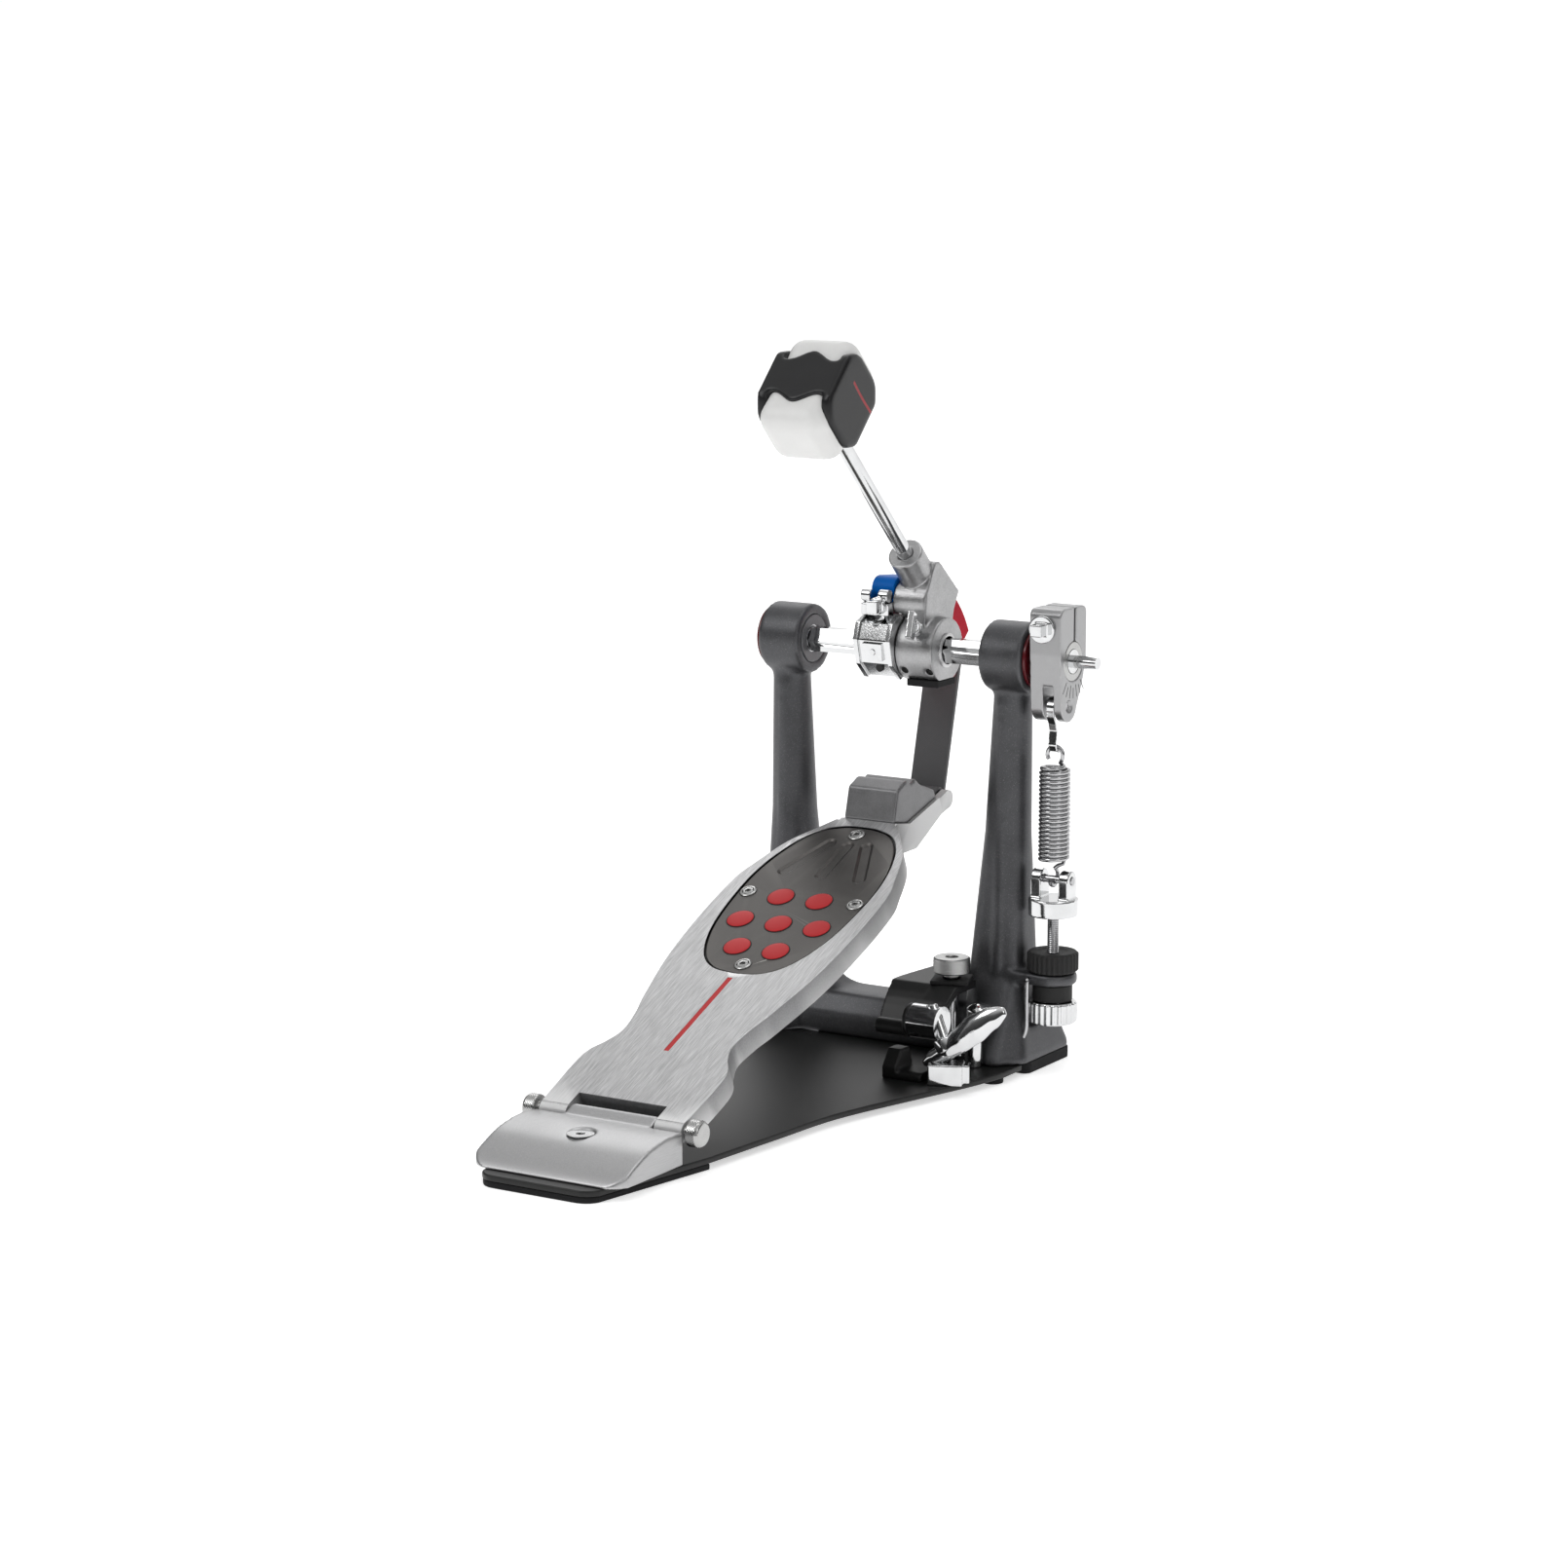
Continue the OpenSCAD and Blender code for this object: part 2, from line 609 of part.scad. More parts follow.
module set_screws() {
    color("#2a2a2b") {
        translate([-3.6, -10, 199.5]) rotate([100, 0, 0]) translate([0, 0, 3.6]) cylinder(r = 2, h = 2.4);
        for (x = [9.4, 23.6]) translate([x, -8, 199]) rotate([100, 0, 0]) translate([0, 0, 0.5])
            cylinder(r = 2, h = 2.4);
    }
}
module rubber_bumper() {
    color("#121213") translate([8.5, -9, 189.6]) cube([18, 18, 3.6]);
}
module beater_stem() {
    color("#c8cacc") on_stem() translate([0, 0, -32.5]) cylinder(r = beater_rod_r, h = head_reach + 40.5);
}
module beater_body() {
    color("#1a1a1b") on_stem() translate([0, 0, head_reach]) difference() {
        intersection() {
            translate([0, 0, -17.8]) linear_extrude(35.6) polygon(round_rect(-20.8, -19.6, 20.8, 19.6, 6));
            translate([0, 19.6, 0]) rotate([90, 0, 0]) linear_extrude(39.2)
                polygon(round_rect(-20.8, -17.8, 20.8, 17.8, 6));
            side(-20.8, 20.8) polygon(round_rect(-19.6, -17.8, 19.6, 17.8, 6));
        }
        translate([0, 0, -30]) cylinder(r = beater_rod_r + run, h = 38.3);
    }
}
module beater_faces() {
    face_x = 19.2;
    face_z = 16.8;
    back = 19.6;
    front = 28;
    round = 7;
    color("#f0f0ee") on_stem() translate([0, 0, head_reach]) for (s = [0, 1]) mirror([0, s, 0])
        intersection() {
        translate([0, front, 0]) rotate([90, 0, 0]) linear_extrude(front - back)
            polygon(round_rect(-face_x, -face_z, face_x, face_z, round));
        translate([0, 0, -20]) linear_extrude(40) polygon(concat([[face_x, back]],
            arc([face_x - round, front - round - 1], round, 0, 90, 8),
            arc([round - face_x, front - round - 1], round, 90, 180, 8), [[-face_x, back]]));
        side(-30, 30) polygon(concat([[back, -face_z]],
            arc([front - round, round - face_z], round, -90, 0, 8),
            arc([front - round, face_z - round], round, 0, 90, 8), [[back, face_z]]));
    }
}

// ---------- footboard ----------
function board_half() = curve([[39.5, 0], [40.3, 29], [39, 41], [34, 50], [30.8, 60], [32.5, 74], [36, 88],
    [42.2, 122], [44.6, 159], [44, 190], [40.5, 205], [33.6, 226], [24, 241], [18, 250]]);
function inset_half(d) = [for (p = board_half()) [p[0] - d, p[1]]];
function plate_half() = curve([[0, 114], [14, 116.5], [25, 127], [33, 148], [36.3, 175], [35.9, 201],
    [30, 225], [21, 239.5], [10, 245], [0, 246]]);
module full(half) {
    both = concat(half, mirrored(half));
    polygon([for (p = both) if (abs(p[0]) > 0.01) p]);
}
module footboard() {
    color("#c4c6c8") on_board() difference() {
        union() {
            translate([0, 0, board_top - board_depth]) linear_extrude(board_depth) full(board_half());
            side(-16, 16) polygon([[244, -7], [244, board_top], [252, board_top], [264, -2.6], [295, -6.4],
                [295, -15.3], [265, -18], [250, -12]]);
            for (x = [-15.5, 11.5]) side(x, x + 4) polygon(concat([[288, -7]], arc(toe_uv, 4.6, 80, -100, 10),
                [[288, -15]]));
            for (x = [-39.5, 24.6]) bar_x(4.8, x, x + 14.9, 0, 0);
        }
        translate([-24.5, -12, -20]) cube([49, 21.5, 40]);
        bar_x(3 + run, -60, 60, 0, 0);
        translate([0, 0, -20]) linear_extrude(20.5) intersection() {
            full(inset_half(5));
            translate([-60, 16]) square([120, 222]);
            for (i = [-3 : 2], k = [0 : 6])
                translate([i * rib_pitch_x + rib_t / 2, 16 + k * rib_pitch_y + rib_t / 2])
                    square([rib_pitch_x - rib_t, rib_pitch_y - rib_t]);
        }
        translate([0, 0, board_top - 1.6]) linear_extrude(10) full(plate_half());
        translate([-1.4, 49, board_top - 0.8]) cube([2.8, 61.5, 3]);
        for (p = screw_places()) translate([p[0], p[1], 0]) cylinder(r = 2, h = 8);
    }
    color("#8f9194") on_board() bar_x(1.5, -14, 14, toe_uv[0], toe_uv[1]);
}
function screw_places() = [[0, 239], [0, 122.5], [-32 + 1.2, 181], [32 - 1.2, 181]];
module toe_stop() {
    color("#9c9ea1") on_board() side(-14.5, 14.5)
        polygon([[252, board_top], [262, 18], [272, 18], [275, 14], [280, 14], [283, 9], [294, -1],
            [295, -6.4], [264, -2.6]]);
}
module traction_plate() {
    color("#4b4a48") on_board() difference() {
        translate([0, 180 * 0.017, board_top - 1.6]) linear_extrude(1.2) scale([0.97, 0.983])
            full(plate_half());
        for (p = screw_places()) translate([p[0], p[1], 0]) cylinder(r = 4.4, h = 8);
        for (p = dot_places()) translate([p[0], p[1], board_top - 1]) cylinder(r = 6.8, h = 3);
    }
}
function dot_places() = concat([[0, 157.8]],
    [for (p = [[21.9, 0], [11, 22], [-11, 22], [-21.9, 0], [-11, -22], [11, -22]]) p + [0, 157.8]]);
module traction_dots() {
    color("#c1121c") on_board() for (p = dot_places())
        translate([p[0], p[1], board_top - 1]) cylinder(r = 6.8, h = 1.2);
}
module traction_screws() {
    color("#8d8f92") on_board() for (p = screw_places()) translate([p[0], p[1], 0]) difference() {
        union() {
            cylinder(r = 2, h = board_top - 1.6);
            translate([0, 0, board_top - 1.6]) cylinder(r = 4.4, h = 1.9);
        }
        translate([0, 0, board_top - 0.9]) cylinder(r = 1.5, h = 4, $fn = 6);
    }
}
module centre_line() {
    color("#b3121b") on_board() translate([-1.4, 49, board_top - 0.8]) cube([2.8, 61.5, 0.8]);
}

base_plate();
heel_pad();
front_pads();
heel_plate();
heel_bolt();
hinge_pin();
hinge_thumb_screws();
left_post();
right_post();
cross_beam();
left_bearing();
right_bearing();
bearing_seals();
tension_rod();
spring_clevis();
clevis_pin();
tension_sleeve();
wire_clip();
frame_bolt();
clamp_stud();
clamp_seat();
clamp_anvil();
lower_jaw_pad();
lock_nut();
tension_nut();
clamp_knob();
clamp_rocker();
clamp_washer();
barrel_nut();
upper_jaw_pad();
wing_bolt();
drive_shaft();
shaft_end_nut();
cam_frame();
blue_cam();
red_cam();
strap_wrap();
stroke_clamp();
stroke_yoke();
stroke_bolt();
beater_holder();
holder_screw();
set_screws();
rubber_bumper();
spring_lever();
lever_insert();
lever_bolt();
lever_pin();
beater_stem();
beater_body();
beater_faces();
footboard();
toe_stop();
traction_plate();
traction_dots();
traction_screws();
centre_line();
strap();
tension_spring();
shackle();
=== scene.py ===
"""Looks of the bass drum pedal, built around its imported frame."""

from __future__ import annotations

import json
import logging
import math
from dataclasses import dataclass, field
from enum import Enum
from itertools import pairwise
from typing import Callable, Iterable, Sequence

import bmesh
import bpy
from mathutils import Matrix, Vector

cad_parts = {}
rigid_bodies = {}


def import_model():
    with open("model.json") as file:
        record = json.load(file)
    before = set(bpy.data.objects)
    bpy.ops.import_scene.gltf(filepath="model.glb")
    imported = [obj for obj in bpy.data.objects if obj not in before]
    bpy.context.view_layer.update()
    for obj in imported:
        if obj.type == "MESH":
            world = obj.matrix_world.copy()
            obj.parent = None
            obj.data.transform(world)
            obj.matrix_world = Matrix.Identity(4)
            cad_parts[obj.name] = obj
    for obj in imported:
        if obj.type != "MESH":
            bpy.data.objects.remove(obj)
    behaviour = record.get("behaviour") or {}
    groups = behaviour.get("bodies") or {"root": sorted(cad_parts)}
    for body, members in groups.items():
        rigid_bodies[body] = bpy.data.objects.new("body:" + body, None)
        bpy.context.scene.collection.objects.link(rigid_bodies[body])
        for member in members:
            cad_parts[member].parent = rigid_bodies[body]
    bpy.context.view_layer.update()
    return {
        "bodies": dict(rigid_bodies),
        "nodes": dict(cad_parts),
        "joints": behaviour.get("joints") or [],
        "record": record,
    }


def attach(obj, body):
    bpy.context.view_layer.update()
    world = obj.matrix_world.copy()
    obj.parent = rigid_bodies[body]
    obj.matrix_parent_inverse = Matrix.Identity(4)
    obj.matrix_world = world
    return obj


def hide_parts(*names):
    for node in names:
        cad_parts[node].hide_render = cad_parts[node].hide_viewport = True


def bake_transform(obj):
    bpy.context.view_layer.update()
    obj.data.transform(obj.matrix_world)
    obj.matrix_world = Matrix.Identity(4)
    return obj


LOG = logging.getLogger("pedal")
MM = 0.001
AXLE_Z = 208.0
# a face is broad from this many square millimetres, and this many for each millimetre of its edge
BROAD_AREA = 150.0
BROAD_RATIO = 1.5
# neighbours that turn by an angle between these, in degrees, belong to a curved surface
CURVED_TURN = (0.5, 20.0)
# edges of a cut piece stay sharp from this many degrees
CUT_SHARP = 25.0
# cosine above which a face counts as level
LEVEL = 0.999
Colour = tuple[float, float, float]
Point = tuple[float, float, float]
Flat = tuple[float, float]


# ---------- shader arithmetic ----------
class Wire:
    """A shader socket that takes part in Python arithmetic."""

    def __init__(self, tree: Tree, socket: bpy.types.NodeSocket) -> None:
        """Keeps the tree and the socket."""
        self.tree = tree
        self.socket = socket

    def _math(self, operation: str, first: object, second: object = None) -> Wire:
        """Adds one Math node.

        Args:
            operation: the node's operation.
            first: its first value or wire.
            second: its second value or wire, if it has one.

        Returns:
            The node's output.
        """
        values = {0: first} if second is None else {0: first, 1: second}
        return self.tree.add("ShaderNodeMath", {"operation": operation}, values)

    def __add__(self, other: object) -> Wire:
        """Sum."""
        return self._math("ADD", self, other)

    def __radd__(self, other: object) -> Wire:
        """Reflected sum."""
        return self._math("ADD", other, self)

    def __sub__(self, other: object) -> Wire:
        """Difference."""
        return self._math("SUBTRACT", self, other)

    def __rsub__(self, other: object) -> Wire:
        """Reflected difference."""
        return self._math("SUBTRACT", other, self)

    def __mul__(self, other: object) -> Wire:
        """Product."""
        return self._math("MULTIPLY", self, other)

    def __rmul__(self, other: object) -> Wire:
        """Reflected product."""
        return self._math("MULTIPLY", other, self)

    def __truediv__(self, other: object) -> Wire:
        """Quotient."""
        return self._math("DIVIDE", self, other)

    def __pow__(self, other: object) -> Wire:
        """Power."""
        return self._math("POWER", self, other)

    def sine(self) -> Wire:
        """Sine of an angle in radians."""
        return self._math("SINE", self)

    def size(self) -> Wire:
        """Absolute value."""
        return self._math("ABSOLUTE", self)

    def step(self, low: float, high: float) -> Wire:
        """Smooth step.

        Args:
            low: the value where the step starts.
            high: the value where the step is complete.

        Returns:
            0 before low, 1 after high.
        """
        settings = {"interpolation_type": "SMOOTHSTEP", "clamp": True}
        return self.tree.add("ShaderNodeMapRange", settings, {0: self, 1: low, 2: high})


class Tree:
    """The node tree of one finish."""

    def __init__(self, material: bpy.types.Material) -> None:
        """Empties the material's tree.

        Args:
            material: the material to be filled.
        """
        material.use_nodes = True
        self.nodes = material.node_tree.nodes
        self.links = material.node_tree.links
        self.nodes.clear()
        self.output = self.nodes.new("ShaderNodeOutputMaterial")
        self.shader = self.nodes.new("ShaderNodeBsdfPrincipled")
        self.links.new(self.shader.outputs[0], self.output.inputs[0])

    def feed(self, socket: bpy.types.NodeSocket, value: object) -> None:
        """Sets a socket, or links a wire to it."""
        if isinstance(value, Wire):
            self.links.new(value.socket, socket)
        elif isinstance(value, tuple) and socket.type == "RGBA":
            socket.default_value = (*value, 1.0)
        else:
            socket.default_value = value

    def add(self, kind: str, settings: dict | None = None, values: dict | None = None,
            out: object = 0) -> Wire:
        """Adds any node.

        Args:
            kind: the node's type.
            settings: its own settings, set first; "stops" fills a colour ramp.
            values: the values or wires of its sockets, by name or place.
            out: the output that is wanted, by name or place.

        Returns:
            That output.
        """
        node = self.nodes.new(kind)
        for name, value in (settings or {}).items():
            if name == "stops":
                self._stops(node.color_ramp, value)
            else:
                setattr(node, name, value)
        for name, value in (values or {}).items():
            self.feed(node.inputs[name], value)
        return Wire(self, node.outputs[out])

    def _stops(self, ramp: bpy.types.ColorRamp, stops: Sequence[tuple[float, Colour]]) -> None:
        """Fills a colour ramp with (place, colour) stops."""
        while len(ramp.elements) < len(stops):
            ramp.elements.new(0.5)
        for element, (place, colour) in zip(ramp.elements, stops):
            element.position = place
            element.color = (*colour, 1.0)

    def place(self, scale: Point = (1, 1, 1), turn: Point = (0, 0, 0)) -> Wire:
        """Object coordinates in millimetres.

        Args:
            scale: a further factor along each axis.
            turn: a turn about each axis in radians, applied last.

        Returns:
            The coordinates.
        """
        here = self.add("ShaderNodeTexCoord", out="Object")
        turned = self.add("ShaderNodeMapping", {"vector_type": "POINT"}, {"Vector": here, "Rotation": turn})
        size = tuple(part / MM for part in scale)
        return self.add("ShaderNodeVectorMath", {"operation": "MULTIPLY"}, {0: turned, 1: size})

    def axes(self, vector: Wire) -> tuple[Wire, Wire, Wire]:
        """The three parts of a vector."""
        node = self.nodes.new("ShaderNodeSeparateXYZ")
        self.links.new(vector.socket, node.inputs[0])
        return tuple(Wire(self, part) for part in node.outputs)

    def noise(self, vector: Wire, pitch: float, detail: float = 2, rough: float = 0.5) -> Wire:
        """Noise with features of a given size.

        Args:
            vector: coordinates in millimetres.
            pitch: size of the features in millimetres.
            detail: octaves of finer noise.
            rough: strength of the finer octaves.

        Returns:
            A value about 0.5.
        """
        values = {"Vector": vector, "Scale": 1 / pitch, "Detail": detail, "Roughness": rough}
        return self.add("ShaderNodeTexNoise", None, values, "Fac")

    def cells(self, vector: Wire, pitch: float) -> Wire:
        """Distance to the middle of random cells of a given size."""
        return self.add("ShaderNodeTexVoronoi", None, {"Vector": vector, "Scale": 1 / pitch}, "Distance")

    def edges(self) -> Wire:
        """1 along outer edges, 0 elsewhere."""
        return self.add("ShaderNodeNewGeometry", out="Pointiness").step(0.52, 0.6)

    def blend(self, share: object, first: object, second: object) -> Wire:
        """Mixes two colours.

        Args:
            share: how much of the second colour.
            first: colour at 0.
            second: colour at 1.

        Returns:
            The mixed colour.
        """
        node = self.nodes.new("ShaderNodeMix")
        node.data_type = "RGBA"
        for socket, value in ((node.inputs[0], share), (node.inputs[6], first), (node.inputs[7], second)):
            self.feed(socket, value)
        return Wire(self, node.outputs[2])

    def bump(self, height: Wire, depth: float, strength: float = 1.0, under: Wire | None = None) -> Wire:
        """A bumped normal.

        Args:
            height: relief from 0 to 1.
            depth: height of the relief in millimetres.
            strength: how much of it shows.
            under: a normal that the relief lies on.

        Returns:
            The normal.
        """
        values = {"Height": height, "Distance": depth * MM, "Strength": strength}
        if under is not None:
            values["Normal"] = under
        return self.add("ShaderNodeBump", None, values)

    def close(self, **sockets: object) -> None:
        """Feeds the shader's sockets, named with underscores for spaces."""
        for name, value in sockets.items():
            self.feed(self.shader.inputs[name.replace("_", " ")], value)


# ---------- finishes ----------
class Slot(Enum):
    """Material slots of the record."""

    PLATE = "plate_black"
    RUBBER = "rubber"
    BRUSHED = "brushed_aluminium"
    DARK = "dark_casting"
    CHROME = "chrome"
    STEEL = "steel"
    SEAL = "seal_red"
    BLACK = "black_plastic"
    CAST = "cast_aluminium"
    BLUE = "blue_plastic"
    RED = "red_plastic"
    WEBBING = "webbing"
    WHITE = "white_plastic"
    GUNMETAL = "gunmetal"
    ENAMEL = "red_enamel"


@dataclass(frozen=True)
class Finish:
    """A surface finish; each kind draws its own node tree."""

    name: str
    slot: Slot
    colour: Colour
    rough: float

    def draw(self, tree: Tree) -> None:
        """Fills the node tree."""
        raise NotImplementedError

    def material(self) -> bpy.types.Material:
        """The finish as a material, made once."""
        made = bpy.data.materials.get(self.name)
        if made is None:
            made = bpy.data.materials.new(self.name)
            self.draw(Tree(made))
        return made


@dataclass(frozen=True)
class CastMetal(Finish):
    """Cast or powder-coated metal with a fine grain and bright flecks."""

    grain: float = 0.55
    depth: float = 0.09
    metal: float = 0.75
    fleck: Colour = (0.5, 0.5, 0.5)
    flecks: float = 0.25
    # colour and strength of the painted highlight along outer edges
    edge: Colour = (0.5, 0.5, 0.5)
    edge_highlight: float = 0.35
    mottle: float = 0.3

    def draw(self, tree: Tree) -> None:
        """Grain from fine noise, flecks from small cells, and edges painted paler as a highlight."""
        here = tree.place()
        cloud = tree.noise(here, 14, 4, 0.6)
        grain = tree.noise(here, self.grain, 3, 0.6)
        spark = 1 - tree.cells(here, self.grain * 0.8).step(0.12, 0.32)
        spark = spark * tree.noise(here, 0.9, 1).step(0.5, 0.62)
        deep = tuple(part * (1 - self.mottle) for part in self.colour)
        tone = tree.blend(cloud.step(0.3, 0.7) * 0.6 + grain.step(0.35, 0.65) * 0.4, deep, self.colour)
        tone = tree.blend(spark * self.flecks, tone, self.fleck)
        # painted highlight: outer edges are lightened towards the edge colour
        tone = tree.blend(tree.edges() * self.edge_highlight, tone, self.edge)
        rough = self.rough + (cloud - 0.5) * 0.16 + (grain - 0.5) * 0.2 - tree.edges() * 0.08
        tree.close(Base_Color=tone, Roughness=rough, Metallic=self.metal,
                   Normal=tree.bump(grain, self.depth, 0.8))


@dataclass(frozen=True)
class BrushedMetal(Finish):
    """Metal brushed one way, with scratches and a soft haze."""

    turn: Point = (0.0, 0.0, 0.0)
    depth: float = 0.03

    def draw(self, tree: Tree) -> None:
        """Streaks from noise drawn out along the board, and edges painted near white as a highlight."""
        here = tree.place((1, 0.03, 1), self.turn)
        fine = tree.noise(here, 0.28, 2, 0.6)
        broad = tree.noise(here, 1.6, 3, 0.6)
        haze = tree.noise(tree.place(), 30, 3)
        tone = tree.blend(fine.step(0.25, 0.75), tuple(c * 0.78 for c in self.colour), self.colour)
        tone = tree.blend(broad.step(0.4, 0.8) * 0.3, tone, tuple(c * 0.8 for c in self.colour))
        # painted highlight: outer edges are lightened to near white
        tone = tree.blend(tree.edges() * 0.6, tone, (0.92, 0.92, 0.92))
        rough = self.rough + (fine - 0.5) * 0.3 + (haze - 0.5) * 0.12
        tree.close(Base_Color=tone, Roughness=rough, Metallic=1.0, Normal=tree.bump(fine, self.depth, 0.7))


@dataclass(frozen=True)
class BoardMetal(Finish):
    """The footboard: brushed on its top face, rough cast on its rim and underside."""

    tilt: float = math.radians(23)
    hinge: Flat = (-262.0, 20.0)
    top: float = 4.45
    # oval of the plate's pocket, which is painted in shade: half width, middle and half length along the
    # board
    recess: Point = (39.0, 180.0, 69.0)

    def draw(self, tree: Tree) -> None:
        """The height over the board's own plane picks the brushed or the cast look; the plate's pocket gets
        painted shade and the edges a painted highlight.
        """
        x, y, z = tree.axes(tree.place())
        height = (y - self.hinge[0]) * -math.sin(self.tilt) + (z - self.hinge[1]) * math.cos(self.tilt)
        face = height.step(self.top - 0.15, self.top + 0.2)
        lie = tree.place((1, 0.03, 1), (-self.tilt, 0, 0))
        fine = tree.noise(lie, 0.3, 2, 0.6)
        broad = tree.noise(lie, 1.8, 3, 0.6)
        grain = tree.noise(tree.place(), 0.8, 4, 0.65)
        cloud = tree.noise(tree.place(), 16, 3)
        brushed = tree.blend(fine.step(0.3, 0.7), (0.4, 0.4, 0.405), (0.64, 0.64, 0.645))
        brushed = tree.blend(broad.step(0.45, 0.8) * 0.4, brushed, (0.36, 0.36, 0.365))
        cast = tree.blend(grain.step(0.3, 0.7) * 0.5 + cloud * 0.5, (0.13, 0.13, 0.135), (0.28, 0.28, 0.285))
        tone = tree.blend(face, cast, brushed)
        # painted highlight: outer edges are lightened to near white
        tone = tree.blend(tree.edges() * 0.7, tone, (0.9, 0.9, 0.9))
        along = (y - self.hinge[0]) * math.cos(self.tilt) + (z - self.hinge[1]) * math.sin(self.tilt)
        oval = (x / self.recess[0]) ** 2 + ((along - self.recess[1]) / self.recess[2]) ** 2
        # painted shade: the pocket round the traction plate is darkened to near black
        pocket_shade = (1 - oval.step(1, 1.04)) * height.step(2.8, 3.0) * (1 - height.step(4.5, 4.6))
        tone = tree.blend(pocket_shade, tone, (0.008, 0.008, 0.008))
        rough = face * (self.rough + (fine - 0.5) * 0.28) + (1 - face) * (0.52 + (grain - 0.5) * 0.3)
        relief = face * fine * 0.25 + (1 - face) * grain
        tree.close(Base_Color=tone, Roughness=rough, Metallic=0.5 + face * 0.5,
                   Normal=tree.bump(relief, 0.12, 0.8))


@dataclass(frozen=True)
class PolishedMetal(Finish):
    """Plated or polished metal with smudges and hair scratches."""

    scratch: float = 0.02
    smudge: float = 0.07

    def draw(self, tree: Tree) -> None:
        """Soft smudges over a mirror, and thin scratches."""
        here = tree.place()
        cloud = tree.noise(here, 9, 3)
        hair = tree.noise(tree.place((1, 0.08, 0.5), (0.4, 0.2, 0.7)), 0.5, 2, 0.7)
        tone = tree.blend(cloud.step(0.35, 0.75) * 0.35, self.colour, tuple(c * 0.78 for c in self.colour))
        rough = self.rough + (cloud - 0.45) * self.smudge + (hair - 0.5).size() * 0.1
        tree.close(Base_Color=tone, Roughness=rough, Metallic=1.0, Normal=tree.bump(hair, self.scratch, 0.5))


@dataclass(frozen=True)
class Moulded(Finish):
    """Moulded plastic or paint with a fine skin."""

    grain: float = 0.5
    depth: float = 0.03
    shade: float = 0.8
    shine: float = 0.28
    # strength of the painted highlight along outer edges
    rim_highlight: float = 0.08

    def draw(self, tree: Tree) -> None:
        """A faint skin, slight colour drift, and edges painted paler as a highlight."""
        here = tree.place()
        cloud = tree.noise(here, 11, 4)
        skin = tree.noise(here, self.grain, 3, 0.6)
        tone = tree.blend(cloud.step(0.3, 0.75), tuple(c * self.shade for c in self.colour), self.colour)
        # painted highlight: outer edges are lightened
        tone = tree.blend(tree.edges() * self.rim_highlight, tone, tuple(min(1.0, c * 1.5 + 0.12) for c in self.colour))
        rough = self.rough + (cloud - 0.5) * 0.14 + (skin - 0.5) * 0.12
        tree.close(Base_Color=tone, Roughness=rough, Specular_IOR_Level=self.shine,
                   Normal=tree.bump(skin, self.depth, 0.7))


@dataclass(frozen=True)
class Webbing(Finish):
    """A woven band with a rib across and fine threads along."""

    def draw(self, tree: Tree) -> None:
        """Threads and ribs from sines on the band's own position."""
        x, y, z = tree.axes(tree.place())
        along = (z * (2 * math.pi / 1.1)).sine()
        across = (x * (2 * math.pi / 0.9)).sine()
        weave = along * across * 0.25 + 0.5
        fuzz = tree.noise(tree.place(), 0.35, 3)
        dark = tuple(c * 0.6 for c in self.colour)
        tone = tree.blend(weave * 0.6 + fuzz * 0.4, dark, self.colour)
        rough = self.rough + (fuzz - 0.5) * 0.2
        tree.close(Base_Color=tone, Roughness=rough, Normal=tree.bump(weave * 0.8 + fuzz * 0.2, 0.12, 0.8))


@dataclass(frozen=True)
class HeadPlastic(Finish):
    """The beater's black shell, with its red stripe on the right cheek."""

    lean: float = math.radians(45.6)
    middle: Point = (10.0, -99.4, 341.1)

    def draw(self, tree: Tree) -> None:
        """The stripe is an arc on the +X cheek, in the head's own directions."""
        x, y, z = tree.axes(tree.place())
        across, up = y - self.middle[1], z - self.middle[2]
        n = across * math.cos(self.lean) + up * math.sin(self.lean)
        s = up * math.cos(self.lean) - across * math.sin(self.lean)
        arc = (n - 6 - (s + 5) ** 2 * 0.004).size()
        line = (1 - arc.step(0.6, 0.95)) * x.step(self.middle[0] + 17, self.middle[0] + 18)
        line = line * (s + 17).step(0, 1) * (7 - s).step(0, 1)
        cloud = tree.noise(tree.place(), 12, 3)
        skin = tree.noise(tree.place(), 0.5, 3)
        tone = tree.blend(cloud.step(0.3, 0.7), (0.009, 0.009, 0.01), self.colour)
        tone = tree.blend(line, tone, (0.32, 0.012, 0.02))
        rough = self.rough + (cloud - 0.5) * 0.1 + (skin - 0.5) * 0.08
        tree.close(Base_Color=tone, Roughness=rough, Specular_IOR_Level=0.35,
                   Normal=tree.bump(skin - line * 0.5, 0.05, 0.6))


